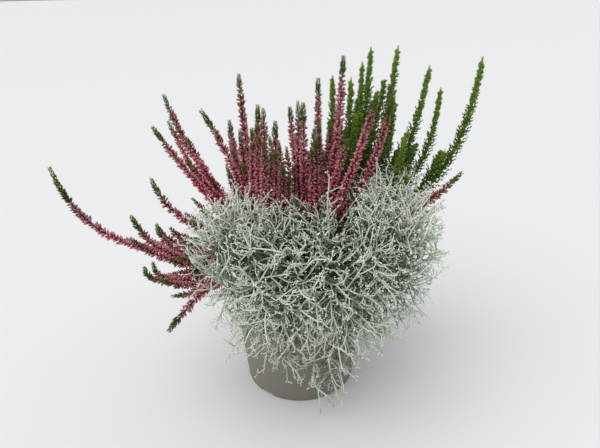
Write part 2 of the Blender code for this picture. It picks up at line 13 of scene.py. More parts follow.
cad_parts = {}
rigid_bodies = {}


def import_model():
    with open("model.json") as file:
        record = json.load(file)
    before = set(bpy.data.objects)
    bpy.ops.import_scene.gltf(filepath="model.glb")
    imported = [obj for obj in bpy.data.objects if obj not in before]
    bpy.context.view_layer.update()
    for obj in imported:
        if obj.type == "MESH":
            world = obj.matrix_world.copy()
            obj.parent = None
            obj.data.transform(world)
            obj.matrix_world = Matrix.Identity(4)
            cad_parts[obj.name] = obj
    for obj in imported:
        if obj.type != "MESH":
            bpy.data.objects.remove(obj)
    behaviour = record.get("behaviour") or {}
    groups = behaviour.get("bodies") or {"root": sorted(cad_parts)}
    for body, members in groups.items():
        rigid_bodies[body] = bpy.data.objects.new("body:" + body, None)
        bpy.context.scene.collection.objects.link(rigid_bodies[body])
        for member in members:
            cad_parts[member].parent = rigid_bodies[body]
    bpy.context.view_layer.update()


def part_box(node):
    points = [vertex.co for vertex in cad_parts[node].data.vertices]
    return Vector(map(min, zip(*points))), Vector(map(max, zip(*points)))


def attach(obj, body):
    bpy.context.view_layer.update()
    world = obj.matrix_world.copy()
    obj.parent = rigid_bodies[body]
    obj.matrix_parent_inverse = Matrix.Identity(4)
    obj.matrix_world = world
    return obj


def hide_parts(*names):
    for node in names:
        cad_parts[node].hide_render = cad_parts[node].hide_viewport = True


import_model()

# Pot. A thin nursery pot of taupe polypropylene, injection moulded in one piece. Its rim band
# stands out from the wall, and notches in the foot ring let the water away.
_, pot_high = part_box("pot")
RIM_RADIUS = pot_high.x
RIM_HEIGHT = pot_high.z
RIM_BAND = 0.0125
BAND_STEP = 0.0032
BAND_SLOPE = 0.0019
BAND_DRAFT = 0.0006
FOOT_RADIUS = 0.0490
FOOT_RING = 0.0030
WALL = 0.0012
FLOOR_LIFT = 0.0030
PAD_RADIUS = 0.0180
POT_SIDES = 144
EDGE_RADIUS = 0.00045
EDGE_STEPS = 3
EDGE_SHARE = 0.4
SHARP_ANGLE = 35.0
ON_AXIS = 1e-6
DRAIN_HOLES = 10
DRAIN_RADIUS = 0.0030
DRAIN_CIRCLE = 0.0330
DRAIN_SIDES = 20
FOOT_NOTCHES = 5
NOTCH_WIDTH = 0.0140
NOTCH_HEIGHT = 0.0024
FIRST_NOTCH = -128.0
TAUPE = (0.212, 0.194, 0.171)
TAUPE_DUST = (0.250, 0.228, 0.200)
DUST_HEIGHT = 0.030
MOST_DUST = 0.30


def add_node(tree, kind, settings=(), **inputs):
    """A shader node whose named inputs are set to a value or linked to a socket."""
    made = tree.nodes.new(kind)
    for name, value in dict(settings).items():
        setattr(made, name, value)
    for name, value in inputs.items():
        socket = made.inputs[name.replace("_", " ")]
        if isinstance(value, bpy.types.NodeSocket):
            tree.links.new(value, socket)
        else:
            socket.default_value = value
    return made


def mixed(tree, factor, first, second, blend="MIX"):
    """The colour between two colours, each a tuple or a socket."""
    mix = tree.nodes.new("ShaderNodeMix")
    mix.data_type = "RGBA"
    mix.blend_type = blend
    for index, value in ((0, factor), (6, first), (7, second)):
        if isinstance(value, bpy.types.NodeSocket):
            tree.links.new(value, mix.inputs[index])
        else:
            mix.inputs[index].default_value = value if index == 0 else (*value, 1.0)
    return mix.outputs[2]


def ramp(tree, factor, stops):
    """A colour ramp over a factor; stops are (place, colour)."""
    made = add_node(tree, "ShaderNodeValToRGB", Fac=factor)
    while len(made.color_ramp.elements) < len(stops):
        made.color_ramp.elements.new(0.5)
    for element, (place, colour) in zip(made.color_ramp.elements, stops):
        element.position = place
        element.color = (*colour, 1.0)
    return made.outputs["Color"]


def span(tree, value, low, high, to_low, to_high):
    """A value mapped from one range to another and kept inside it."""
    made = add_node(tree, "ShaderNodeMapRange", Value=value)
    for name, limit in zip(("From Min", "From Max", "To Min", "To Max"), (low, high, to_low, to_high)):
        made.inputs[name].default_value = limit
    return made.outputs["Result"]


def shader_group(name, inputs, outputs):
    """An empty shader node group; inputs and outputs are (name, socket type)."""
    tree = bpy.data.node_groups.new(name, "ShaderNodeTree")
    for title, kind in inputs:
        tree.interface.new_socket(title, in_out="INPUT", socket_type=kind)
    for title, kind in outputs:
        tree.interface.new_socket(title, in_out="OUTPUT", socket_type=kind)
    return tree, tree.nodes.new("NodeGroupInput"), tree.nodes.new("NodeGroupOutput")


def make_mottle():
    """Uneven colour as on anything grown or handled: soft patches and a fine grain."""
    inputs = (("Colour", "NodeSocketColor"), ("Patch", "NodeSocketFloat"), ("Grain", "NodeSocketFloat"),
              ("Depth", "NodeSocketFloat"))
    outputs = (("Colour", "NodeSocketColor"), ("Grain", "NodeSocketFloat"))
    tree, given, result = shader_group("mottle", inputs, outputs)
    place = tree.nodes.new("ShaderNodeTexCoord").outputs["Object"]
    patch = add_node(tree, "ShaderNodeTexNoise", Vector=place, Scale=given.outputs["Patch"], Detail=2.0)
    grain = add_node(tree, "ShaderNodeTexNoise", Vector=place, Scale=given.outputs["Grain"], Detail=3.0)
    both = add_node(tree, "ShaderNodeMath", {"operation": "ADD"})
    tree.links.new(patch.outputs["Fac"], both.inputs[0])
    tree.links.new(grain.outputs["Fac"], both.inputs[1])
    swing = add_node(tree, "ShaderNodeMath", {"operation": "MULTIPLY_ADD"})
    tree.links.new(span(tree, both.outputs[0], 0.7, 1.3, -1.0, 1.0), swing.inputs[0])
    tree.links.new(given.outputs["Depth"], swing.inputs[1])
    swing.inputs[2].default_value = 1.0
    shade = add_node(tree, "ShaderNodeHueSaturation", Value=swing.outputs[0], Color=given.outputs["Colour"])
    tree.links.new(shade.outputs["Color"], result.inputs["Colour"])
    tree.links.new(grain.outputs["Fac"], result.inputs["Grain"])
    return tree


def new_material(name, roughness, specular=0.5):
    """A material's node tree and its Principled shader."""
    material = bpy.data.materials.new(name)
    material.use_nodes = True
    shader = material.node_tree.nodes["Principled BSDF"]
    shader.inputs["Roughness"].default_value = roughness
    shader.inputs["Specular IOR Level"].default_value = specular
    return material, material.node_tree, shader


def finish_surface(tree, shader, colour, height, strength, distance):
    """Joins a colour and a bump to the shader."""
    tree.links.new(colour, shader.inputs["Base Color"])
    bump = add_node(tree, "ShaderNodeBump", Strength=strength, Distance=distance, Height=height)
    tree.links.new(bump.outputs["Normal"], shader.inputs["Normal"])


def mottled_surface(tree, shader, colour, strength, distance, **settings):
    """Lays the mottle group over a colour and joins it to the shader. Gives its grain."""
    made = tree.nodes.new("ShaderNodeGroup")
    made.node_tree = mottle
    tree.links.new(colour, made.inputs["Colour"])
    for name, value in settings.items():
        made.inputs[name].default_value = value
    finish_surface(tree, shader, made.outputs["Colour"], made.outputs["Grain"], strength, distance)
    return made.outputs["Grain"]


def rounded(profile, radius, steps):
    """A profile whose corners, apart from its ends, are small arcs."""
    points = [profile[0]]
    for before, corner, after in zip(profile, profile[1:], profile[2:]):
        before, corner, after = np.array(before), np.array(corner), np.array(after)
        back, on = before - corner, after - corner
        cut = min(radius, EDGE_SHARE * np.linalg.norm(back), EDGE_SHARE * np.linalg.norm(on))
        start = corner + cut * back / np.linalg.norm(back)
        end = corner + cut * on / np.linalg.norm(on)
        for t in np.linspace(0.0, 1.0, steps + 1):
            points.append(tuple((1 - t) ** 2 * start + 2 * t * (1 - t) * corner + t * t * end))
    return points + [profile[-1]]


def turned(profile, sides):
    """A closed bmesh turned about Z from a profile that starts and ends on the axis."""
    bm = bmesh.new()
    rings = []
    for radius, height in profile:
        count = 1 if radius < ON_AXIS else sides
        turns = (2.0 * math.pi * k / sides for k in range(count))
        rings.append([bm.verts.new((radius * math.cos(a), radius * math.sin(a), height)) for a in turns])
    for low, high in zip(rings, rings[1:]):
        for k in range(sides):
            corners = [low[k % len(low)], low[(k + 1) % len(low)]]
            corners += [high[(k + 1) % len(high)], high[k % len(high)]]
            bm.faces.new(list(dict.fromkeys(corners)))
    bmesh.ops.recalc_face_normals(bm, faces=bm.faces)
    return bm


def prism(centre, radius, low, high, sides, turn):
    """A closed upright prism, used as a cutter."""
    bm = bmesh.new()
    bmesh.ops.create_cone(bm, cap_ends=True, segments=sides, radius1=radius, radius2=radius, depth=high - low)
    place = Matrix.Translation((centre[0], centre[1], 0.5 * (low + high))) @ Matrix.Rotation(turn, 4, "Z")
    bm.transform(place)
    return bm


def object_of(bm, name):
    """The bmesh as an object in the scene."""
    mesh = bpy.data.meshes.new(name)
    bm.to_mesh(mesh)
    bm.free()
    made = bpy.data.objects.new(name, mesh)
    bpy.context.scene.collection.objects.link(made)
    return made


def inner_radius(height):
    """The radius of the pot's inside below its rim band."""
    share = height / (RIM_HEIGHT - RIM_BAND)
    return FOOT_RADIUS - WALL + share * (RIM_RADIUS - BAND_STEP - FOOT_RADIUS)


def pot_profile():
    """The outline of the pot's section, from under its centre pad, up outside and down inside."""
    band = RIM_HEIGHT - RIM_BAND
    floor = FLOOR_LIFT + WALL
    ring_inside = FOOT_RADIUS - FOOT_RING
    return [
        (0.0, 0.0),
        (PAD_RADIUS, 0.0),
        (PAD_RADIUS + FLOOR_LIFT, FLOOR_LIFT),
        (ring_inside - FLOOR_LIFT, FLOOR_LIFT),
        (ring_inside, 0.0),
        (FOOT_RADIUS, 0.0),
        (RIM_RADIUS - BAND_STEP, band - BAND_SLOPE),
        (RIM_RADIUS - BAND_DRAFT, band),
        (RIM_RADIUS, RIM_HEIGHT),
        (RIM_RADIUS - WALL, RIM_HEIGHT),
        (RIM_RADIUS - WALL - BAND_DRAFT, band + WALL),
        (inner_radius(band), band),
        (inner_radius(floor), floor),
        (PAD_RADIUS + FLOOR_LIFT, floor),
        (PAD_RADIUS, WALL),
        (0.0, WALL),
    ]


def pot_cutters():
    """The drain holes through the floor and the notches in the foot ring."""
    floor = FLOOR_LIFT + WALL
    for k in range(DRAIN_HOLES):
        angle = 2.0 * math.pi * (k + 0.5) / DRAIN_HOLES
        centre = (DRAIN_CIRCLE * math.cos(angle), DRAIN_CIRCLE * math.sin(angle))
        yield prism(centre, DRAIN_RADIUS, 0.5 * FLOOR_LIFT, floor + WALL, DRAIN_SIDES, angle)
    for k in range(FOOT_NOTCHES):
        angle = math.radians(FIRST_NOTCH + 360.0 * k / FOOT_NOTCHES)
        centre = (FOOT_RADIUS * math.cos(angle), FOOT_RADIUS * math.sin(angle))
        half = 0.5 * NOTCH_WIDTH * math.sqrt(2.0)
        yield prism(centre, half, -FLOOR_LIFT, NOTCH_HEIGHT, 4, angle + 0.25 * math.pi)


def cut_from(base, cutters):
    """Cuts the bmesh cutters from an object with one Boolean, applied."""
    group = bpy.data.collections.new("cutters")
    bpy.context.scene.collection.children.link(group)
    for k, bm in enumerate(cutters):
        cutter = object_of(bm, f"cutter_{k}")
        bpy.context.scene.collection.objects.unlink(cutter)
        group.objects.link(cutter)
    change = base.modifiers.new("cut", "BOOLEAN")
    change.operand_type = "COLLECTION"
    change.collection = group
    graph = bpy.context.evaluated_depsgraph_get()
    result = bpy.data.meshes.new_from_object(base.evaluated_get(graph))
    base.modifiers.clear()
    base.data = result
    for cutter in list(group.objects):
        bpy.data.objects.remove(cutter)
    bpy.data.collections.remove(group)


def make_moulded_taupe():
    """Matt moulded plastic with a fine grain, a little dustier towards the ground."""
    material, tree, shader = new_material("moulded_taupe", roughness=0.5, specular=0.4)
    place = tree.nodes.new("ShaderNodeTexCoord").outputs["Object"]
    height = add_node(tree, "ShaderNodeSeparateXYZ", Vector=place).outputs["Z"]
    dust = span(tree, height, 0.0, DUST_HEIGHT, MOST_DUST, 0.0)
    colour = mixed(tree, dust, TAUPE, TAUPE_DUST)
    grain = mottled_surface(tree, shader, colour, strength=0.12, distance=0.0003,
                            Patch=18.0, Grain=1400.0, Depth=0.05)
    tree.links.new(span(tree, grain, 0.3, 0.7, 0.42, 0.58), shader.inputs["Roughness"])
    return material


mottle = make_mottle()
pot = object_of(turned(rounded(pot_profile(), EDGE_RADIUS, EDGE_STEPS), POT_SIDES), "nursery_pot")
cut_from(pot, pot_cutters())
pot.data.shade_smooth()
pot.data.set_sharp_from_angle(angle=math.radians(SHARP_ANGLE))
pot.data.materials.clear()
pot.data.materials.append(make_moulded_taupe())
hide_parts("pot")
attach(pot, "root")

# Potting soil. A peat mix, filled to just under the rim and never pressed flat. It is one body
# with a lumpy top, and loose crumbs and bark bits lie on it.
soil_low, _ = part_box("soil")
SOIL_LEVEL = 0.1010
SOIL_SHOULDER = 0.0080
CLEARANCE = 0.0003
LUMPS = ((260.0, 0.6, 0.0007), (610.0, -0.8, 0.0005), (1400.0, 1.7, 0.0003))
SURFACE_RINGS = 26
SURFACE_SIDES = 96
INNERMOST_RING = 0.02
SOIL_SEED = 3
WALL_GAP = 0.003
CRUMBS = 950
CRUMB_SIZE = (0.0005, 0.0019)
CRUMB_SQUASH = (0.45, 0.40)
BARK_BITS = 110
BARK_SIZE = (0.0016, 0.0045)
BARK_SQUASH = (0.28, 0.10)
BIT_LIE = (1.0, 1.0, 0.35)
BIT_TILT = 0.2
BIT_LIFT = 0.1
BODY_TONE = 0.3
PEAT = (0.030, 0.019, 0.012)
PEAT_DRY = (0.085, 0.055, 0.034)


def unit(vectors):
    """Vectors made one long."""
    return vectors / np.linalg.norm(vectors, axis=-1, keepdims=True)


def pod(stations, sides, ridge=1.0):
    """A closed pod of length one along Z, pointed at both ends. Stations are (height, half width,
    half thickness, bow); with a ridge under one, every other corner is drawn in."""
    points = [(0.0, 0.0, 0.0)]
    for height, width, thickness, bow in stations:
        for corner in range(sides):
            turn = 2.0 * math.pi * corner / sides
            out = ridge if corner % 2 else 1.0
            points.append((out * width * math.cos(turn), out * thickness * math.sin(turn) + bow, height))
    points.append((0.0, stations[-1][3], 1.0))
    last = len(points) - 1
    faces = []
    for corner in range(sides):
        following = (corner + 1) % sides
        faces.append((0, 1 + following, 1 + corner))
        for ring in range(len(stations) - 1):
            low, high = 1 + ring * sides, 1 + (ring + 1) * sides
            faces.append((low + corner, low + following, high + following))
            faces.append((low + corner, high + following, high + corner))
        top = 1 + (len(stations) - 1) * sides
        faces.append((top + corner, top + following, last))
    return np.array(points), np.array(faces)


def facing(directions, outward):
    """Frames for copies: rows are width, thickness and length, with the thickness turned outward."""
    length = unit(directions)
    outward = outward - length * np.sum(outward * length, axis=1, keepdims=True)
    thickness = unit(outward)
    width = np.cross(thickness, length)
    return np.stack([width, thickness, length], axis=1)


def ring_faces(rings, corners):
    """The triangles between rings of points in order, with one point to close each end."""
    base = np.arange(corners)
    following = (base + 1) % corners
    faces = []
    for ring in range(rings - 1):
        low, high = ring * corners, (ring + 1) * corners
        faces.append(np.stack([low + base, low + following, high + following], axis=1))
        faces.append(np.stack([low + base, high + following, high + base], axis=1))
    top, end = (rings - 1) * corners, np.full(corners, rings * corners)
    faces.append(np.stack([following, base, end], axis=1))
    faces.append(np.stack([top + base, top + following, end + 1], axis=1))
    return np.vstack(faces)


class Growth:
    """Many small closed shapes gathered into one mesh. Each point keeps three numbers: its place
    on the shoot, a chance value of its own small shape, and how far along that shape it is. A
    finish is the number of a material in the list given to piece."""

    def __init__(self):
        self.points, self.faces, self.marks, self.finishes = [], [], [], []
        self.count = 0

    def add(self, points, faces, marks, finish):
        self.points.append(points)
        self.faces.append(faces + self.count)
        self.marks.append(marks)
        self.finishes.append(np.full(len(faces), finish))
        self.count += len(points)

    def scatter(self, shape, centres, frames, sizes, place, chance, finish):
        """Copies of a shape; sizes are (width, thickness, length) of each."""
        points, faces = shape
        placed = np.einsum("nvk,nkj->nvj", points[None] * sizes[:, None], frames) + centres[:, None]
        copies, corners = len(centres), len(points)
        marks = np.empty((copies, corners, 3))
        marks[:, :, 0] = np.asarray(place)[:, None]
        marks[:, :, 1] = np.asarray(chance)[:, None]
        marks[:, :, 2] = points[None, :, 2]
        numbered = faces[None] + corners * np.arange(copies)[:, None, None]
        self.add(placed.reshape(-1, 3), numbered.reshape(-1, 3), marks.reshape(-1, 3), finish)

    def tube(self, centres, sides, ups, radii, corners, place, chance, finish):
        """A closed tube round a line, pointed at both ends."""
        turns = 2.0 * math.pi * np.arange(corners) / corners
        out = np.cos(turns)[None, :, None] * sides[:, None] + np.sin(turns)[None, :, None] * ups[:, None]
        rings = centres[:, None] + out * np.asarray(radii)[:, None, None]
        points = np.vstack([rings.reshape(-1, 3), centres[:1], centres[-1:]])
        place = np.asarray(place) * np.ones(len(centres))
        marks = np.empty((len(points), 3))
        marks[:-2, 0] = np.repeat(place, corners)
        marks[-2:, 0] = place[0], place[-1]
        marks[:, 1] = chance
        marks[:, 2] = marks[:, 0]
        self.add(points, ring_faces(len(centres), corners), marks, finish)

    def piece(self, name, materials, nodes):
        """The mesh as a piece of the object that stands for CAD nodes."""
        points, faces = np.vstack(self.points), np.vstack(self.faces)
        mesh = bpy.data.meshes.new(name)
        mesh.vertices.add(len(points))
        mesh.vertices.foreach_set("co", points.astype(np.float32).ravel())
        mesh.loops.add(faces.size)
        mesh.loops.foreach_set("vertex_index", faces.astype(np.int32).ravel())
        mesh.polygons.add(len(faces))
        mesh.polygons.foreach_set("loop_start", np.arange(0, faces.size, 3, dtype=np.int32))
        mesh.polygons.foreach_set("material_index", np.concatenate(self.finishes).astype(np.int32))
        mesh.update(calc_edges=True)
        marks = mesh.attributes.new("growth", "FLOAT_VECTOR", "POINT")
        marks.data.foreach_set("vector", np.vstack(self.marks).astype(np.float32).ravel())
        mesh.shade_smooth()
        for material in materials:
            mesh.materials.append(material)
        made = bpy.data.objects.new(name, mesh)
        bpy.context.scene.collection.objects.link(made)
        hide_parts(*nodes)
        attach(made, "root")
        return made


def lump(x, y):
    """The height of the soil's lumps at a place."""
    return sum(size * np.sin(wave * (x + turn * y)) * np.cos(wave * (y - turn * x))
               for wave, turn, size in LUMPS)


def soil_body(growth):
    """The body: rings up its wall, then rings over its lumpy top."""
    shoulder = SOIL_LEVEL - SOIL_SHOULDER
    edge = inner_radius(shoulder) - CLEARANCE
    bottom = soil_low.z
    step = FLOOR_LIFT + WALL + CLEARANCE
    profile = [
        (PAD_RADIUS - CLEARANCE, bottom),
        (PAD_RADIUS - CLEARANCE + FLOOR_LIFT, step),
        (inner_radius(step) - CLEARANCE, step),
        (edge, shoulder),
    ]
    profile += [(edge * share, SOIL_LEVEL) for share in np.linspace(1.0, INNERMOST_RING, SURFACE_RINGS)]
    turns = 2.0 * math.pi * np.arange(SURFACE_SIDES) / SURFACE_SIDES
    rings = []
    for radius, height in profile:
        x, y = radius * np.cos(turns), radius * np.sin(turns)
        z = height + (lump(x, y) if height == SOIL_LEVEL else 0.0 * x)
        rings.append(np.stack([x, y, z], axis=1))
    points = np.vstack([*rings, (0.0, 0.0, bottom), (0.0, 0.0, SOIL_LEVEL)])
    marks = np.full((len(points), 3), BODY_TONE)
    growth.add(points, ring_faces(len(rings), SURFACE_SIDES), marks, 0)


def loose_bits(growth, draw, shape, count, size, squash):
    """Crumbs or bark bits that lie on the soil, each turned its own way."""
    reach = inner_radius(SOIL_LEVEL) - WALL_GAP
    across = reach * np.sqrt(draw.random(count))
    turns = 2.0 * math.pi * draw.random(count)
    x, y = across * np.cos(turns), across * np.sin(turns)
    length = size[0] + (size[1] - size[0]) * draw.random(count) ** 2
    directions = unit(draw.normal(size=(count, 3)) * BIT_LIE)
    upward = np.tile((0.0, 0.0, 1.0), (count, 1)) + BIT_TILT * draw.normal(size=(count, 3))
    frames = facing(directions, upward)
    centres = np.stack([x, y, SOIL_LEVEL + lump(x, y) + BIT_LIFT * length], axis=1)
    centres = centres - 0.5 * length[:, None] * directions
    sizes = length[:, None] * np.array([*squash, 1.0])
    growth.scatter(shape, centres, frames, sizes, draw.random(count), draw.random(count), 0)


def read_growth(tree):
    """The place, chance and rise that each point of a growth keeps."""
    kept = add_node(tree, "ShaderNodeAttribute", {"attribute_name": "growth"}).outputs["Vector"]
    parts = add_node(tree, "ShaderNodeSeparateXYZ", Vector=kept)
    return parts.outputs["X"], parts.outputs["Y"], parts.outputs["Z"]


def make_peat():
    """Dark moist peat; the loose bits on it are drier and lighter by chance."""
    material, tree, shader = new_material("moist_peat", roughness=0.95, specular=0.2)
    _, chance, _ = read_growth(tree)
    colour = mixed(tree, span(tree, chance, 0.5, 1.0, 0.0, 1.0), PEAT, PEAT_DRY)
    mottled_surface(tree, shader, colour, strength=0.8, distance=0.0008,
                    Patch=120.0, Grain=1800.0, Depth=0.6)
    return material


soil_draw = np.random.default_rng(SOIL_SEED)
crumb = pod(((0.22, 0.9, 0.8, 0.0), (0.72, 0.9, 0.8, 0.1)), sides=5, ridge=0.75)
bark = pod(((0.05, 0.9, 0.9, 0.0), (0.9, 0.8, 1.0, 0.1)), sides=4)
soil_growth = Growth()
soil_body(soil_growth)
loose_bits(soil_growth, soil_draw, crumb, CRUMBS, CRUMB_SIZE, CRUMB_SQUASH)
loose_bits(soil_growth, soil_draw, bark, BARK_BITS, BARK_SIZE, BARK_SQUASH)
soil_growth.piece("potting_mix", [make_peat()], ["soil"])

# Pink bud heather. Upright woody shoots from two crowns, each with a dense raceme of pointed
# buds that never open, crimson below and pale above, and a green growing tip. Shorter side
# shoots stand off the lower half of each.
HOLE_DEPTH = 0.0100
COLLAR = 0.0018
STEM_RADIUS = 0.0011
STEM_TIP = 0.00045
FIRST_LEAN = 0.15
FIRST_RISE = 0.0180
CURVE_POINTS = 161
FOOT_START = 0.0050
FOOT_SPREAD = 0.17
FOOT_GAP = 0.0044
FOOT_LIMIT = 0.0500
FOOT_ROUNDS = 200
TALLEST = 0.2000
CROWNS = {"left": (-0.025, 0.007), "middle": (0.006, 0.004), "right": (0.034, 0.018)}
# One row a spray, as in the frame: crown, bearing in degrees, reach, rise, how early it leans
# out, how high the bend lifts it, and the length of its green tip.
PINK_SPRAYS = (
    ("left", -164, 0.159, 0.112, 0.88, 0.010, 0.030),
    ("left", 166, 0.097, 0.124, 0.56, 0.065, 0.014),
    ("left", 147, 0.108, 0.144, 0.69, 0.064, 0.0),
    ("left", -164, 0.090, 0.095, 0.88, 0.047, 0.014),
    ("left", -149, 0.111, 0.078, 0.83, 0.017, 0.012),
    ("left", -179, 0.095, 0.046, 0.93, 0.016, 0.010),
    ("left", 176, 0.049, 0.141, 0.34, 0.097, 0.016),
    ("left", 117, 0.080, 0.117, 0.78, 0.049, 0.012),
    ("left", 122, 0.039, 0.164, 0.78, 0.049, 0.0),
    ("left", -167, 0.004, 0.145, 0.78, 0.103, 0.014),
    ("left", -57, 0.018, 0.135, 0.69, 0.050, 0.012),
    ("middle", 101, 0.057, 0.132, 0.37, 0.060, 0.012),
    ("middle", 88, 0.006, 0.145, 0.66, 0.051, 0.014),
    ("middle", 74, 0.050, 0.157, 1.00, 0.030, 0.012),
    ("middle", 18, 0.033, 0.179, 0.83, 0.048, 0.014),
    ("middle", -24, 0.059, 0.158, 0.52, 0.056, 0.014),
    ("middle", -5, 0.069, 0.156, 0.77, 0.059, 0.020),
    ("middle", -18, 0.122, 0.101, 0.64, 0.048, 0.0),
    ("left", -124, 0.120, 0.008, 0.49, 0.031, 0.012),
    ("left", -140, 0.113, 0.044, 1.00, 0.014, 0.012),
    ("left", 138, 0.100, 0.064, 0.75, 0.045, 0.0),
    ("middle", 110, 0.092, 0.098, 0.75, 0.040, 0.0),
    ("middle", 86, 0.096, 0.080, 0.70, 0.045, 0.0),
)
# The green shoots' rows stand here too, since all feet are set in the soil together.
GREEN_SPRAYS = (
    ("right", 90, 0.066, 0.156, 0.65, 0.050, 0.0),
    ("right", 42, 0.015, 0.162, 0.90, 0.050, 0.0),
    ("right", 68, 0.071, 0.167, 1.00, 0.040, 0.0),
    ("right", 54, 0.052, 0.182, 0.84, 0.048, 0.0),
    ("right", 18, 0.051, 0.185, 0.64, 0.045, 0.0),
    ("right", 42, 0.071, 0.119, 1.00, 0.033, 0.0),
    ("right", 23, 0.086, 0.167, 0.80, 0.041, 0.0),
    ("right", -23, 0.056, 0.125, 0.79, 0.042, 0.0),
    ("right", 30, 0.111, 0.145, 0.96, 0.029, 0.0),
    ("right", -3, 0.109, 0.178, 0.93, 0.032, 0.0),
    ("right", 80, 0.096, 0.092, 0.75, 0.040, 0.0),
    ("right", 58, 0.102, 0.080, 0.75, 0.052, 0.0),
)
PINK_SEED = 7
GOLDEN = math.pi * (3.0 - math.sqrt(5.0))
FIRST_SIDE = (0.31, 0.52, 0.80)
RING_STEP = 0.004
KNOT_SWELL = 0.10
KNOT_TURN = 2.6
# Scale leaves: how each strays from the rule that sets them, and where it sits on its stem.
LEAF_TURN_STRAY = 0.3
LEAF_TILT_STRAY = 7.0
LEAF_SCALE = (0.85, 0.30)
LEAF_SEAT = 0.7
SMALL_LEAF_PITCH = 0.0012
SMALL_LEAF = (0.0010, 0.0007, 0.0030)
SMALL_LEAF_TILT = 40.0
BLOOM_LEAF_TILT = 48.0
LEAFLESS = 0.35
LEAF_OVERLAP = 0.01
TIP_LEAF_PITCH = 0.00025
TIP_LEAF = (0.0017, 0.0013, 0.0039)
TIP_LEAF_TILT = 42.0
TIP_TAPER = 0.5
TIP_RADIUS = 0.0009
TIP_STEM = 0.4
OWN_TIP_LENGTH = 0.010
OWN_TIP_SCALE = 0.8
# Buds: their lean in degrees low on the shoot, its drop to the top and its stray; the other
# strays; and how full the raceme is at its foot and head, with the rise from there.
BARE_SHARE = 0.26
BUD_PITCH = 0.00027
BUD_SIZE = (0.00160, 0.00160, 0.0045)
BUD_LEAN = (64.0, 12.0, 15.0)
BUD_SHIFT = 0.0004
BUD_TURN_STRAY = 0.45
BUD_SCALE = (0.78, 0.40)
BUD_SEAT = 0.6
BUD_LIFT = 0.0004
RACEME_FOOT = (0.70, 3.0)
RACEME_HEAD = (0.66, 3.4)
BELOW_TIP = 0.9
# How many side shoots each pink spray has, where they start and how long they are, as shares of
# the spray. The crowded sprays in the middle, by number, have tall ones.
SIDE_SHOOTS = (0, 5, 5, 3, 9, 11, 6, 5, 4, 8, 9, 8, 6, 3, 2, 2, 1, 1, 0, 11, 4, 3, 3)
TALL_SIDES = (6, 8, 10, 11, 12, 13, 20)
SIDE_START = (0.16, 0.48)
SIDE_LENGTH = (0.20, 0.46)
TALL_START = (0.12, 0.30)
TALL_LENGTH = (0.40, 0.76)
SIDE_SPREAD = (0.006, 0.014)
SIDE_TIP_LENGTH = (0.005, 0.010)
SIDE_TURN = 1.2
SIDE_BARE = 0.15
SIDE_PLUMP = 0.9
SIDE_POINTS = 33
SLANT_AHEAD = 0.75
SLANT_OUT = 0.66
SLANT_LENGTH = 0.30
CLOSING_LENGTH = 0.35
CLOSING_OUT = 0.10
CRIMSON = (0.370, 0.020, 0.078)
ROSE = (0.720, 0.080, 0.210)
DUSTY_PINK = (0.760, 0.240, 0.330)
BROWN_BUD = (0.270, 0.110, 0.085)
PALE_PINK = (0.760, 0.420, 0.450)
CALYX_BROWN = (0.110, 0.032, 0.026)
OLIVE_BUD = (0.170, 0.160, 0.060)
BARK_BROWN = (0.060, 0.034, 0.022)
BARK_REDDISH = (0.110, 0.050, 0.035)
YOUNG_GREEN = (0.090, 0.150, 0.018)
LEAF_DARK = (0.050, 0.066, 0.014)
LEAF_LIGHT = (0.170, 0.240, 0.035)


class Curve:
    """A line through points, with side directions carried along it without twist."""

    def __init__(self, points):
        self.points = np.asarray(points, float)
        steps = np.linalg.norm(np.diff(self.points, axis=0), axis=1)
        self.along = np.concatenate([[0.0], np.cumsum(steps)])
        self.length = self.along[-1]
        self.aheads = unit(np.gradient(self.points, axis=0))
        side = np.cross(self.aheads[0], FIRST_SIDE)
        sides = []
        for ahead in self.aheads:
            side = side - ahead * side.dot(ahead)
            side = side / np.linalg.norm(side)
            sides.append(side)
        self.sides = np.array(sides)
        self.ups = np.cross(self.aheads, self.sides)

    def at(self, distances):
        """The centres, sides, ups and directions ahead at distances along the line."""
        centres = [np.interp(distances, self.along, self.points[:, axis]) for axis in range(3)]
        centres = np.stack(centres, axis=1)
        nearest = np.clip(np.searchsorted(self.along, distances), 0, len(self.along) - 1)
        return centres, self.sides[nearest], self.ups[nearest], self.aheads[nearest]


def spray_feet(rows):
    """Where the sprays leave the soil: near their crown, pushed apart until each has room."""
    feet = []
    for crown, bearing, reach, rise, *_ in rows:
        turn = math.radians(bearing)
        out = FOOT_START + FOOT_SPREAD * reach * (1.0 - rise / TALLEST)
        feet.append(np.array(CROWNS[crown]) + out * np.array([math.cos(turn), math.sin(turn)]))
    feet = np.array(feet)
    for _ in range(FOOT_ROUNDS):
        for first in range(len(feet)):
            for second in range(first):
                apart = feet[first] - feet[second]
                distance = np.hypot(*apart)
                if distance < FOOT_GAP:
                    push = 0.5 * apart * (FOOT_GAP / distance - 1.0)
                    feet[first] += push
                    feet[second] -= push
        outside = np.hypot(feet[:, 0], feet[:, 1]) / FOOT_LIMIT
        feet /= np.maximum(outside, 1.0)[:, None]
    return feet


def bezier(base, first, second, tip, count):
    """Points along a cubic curve."""
    t = np.linspace(0.0, 1.0, count)[:, None]
    return (1 - t) ** 3 * base + 3 * t * (1 - t) ** 2 * first + 3 * t * t * (1 - t) * second + t**3 * tip


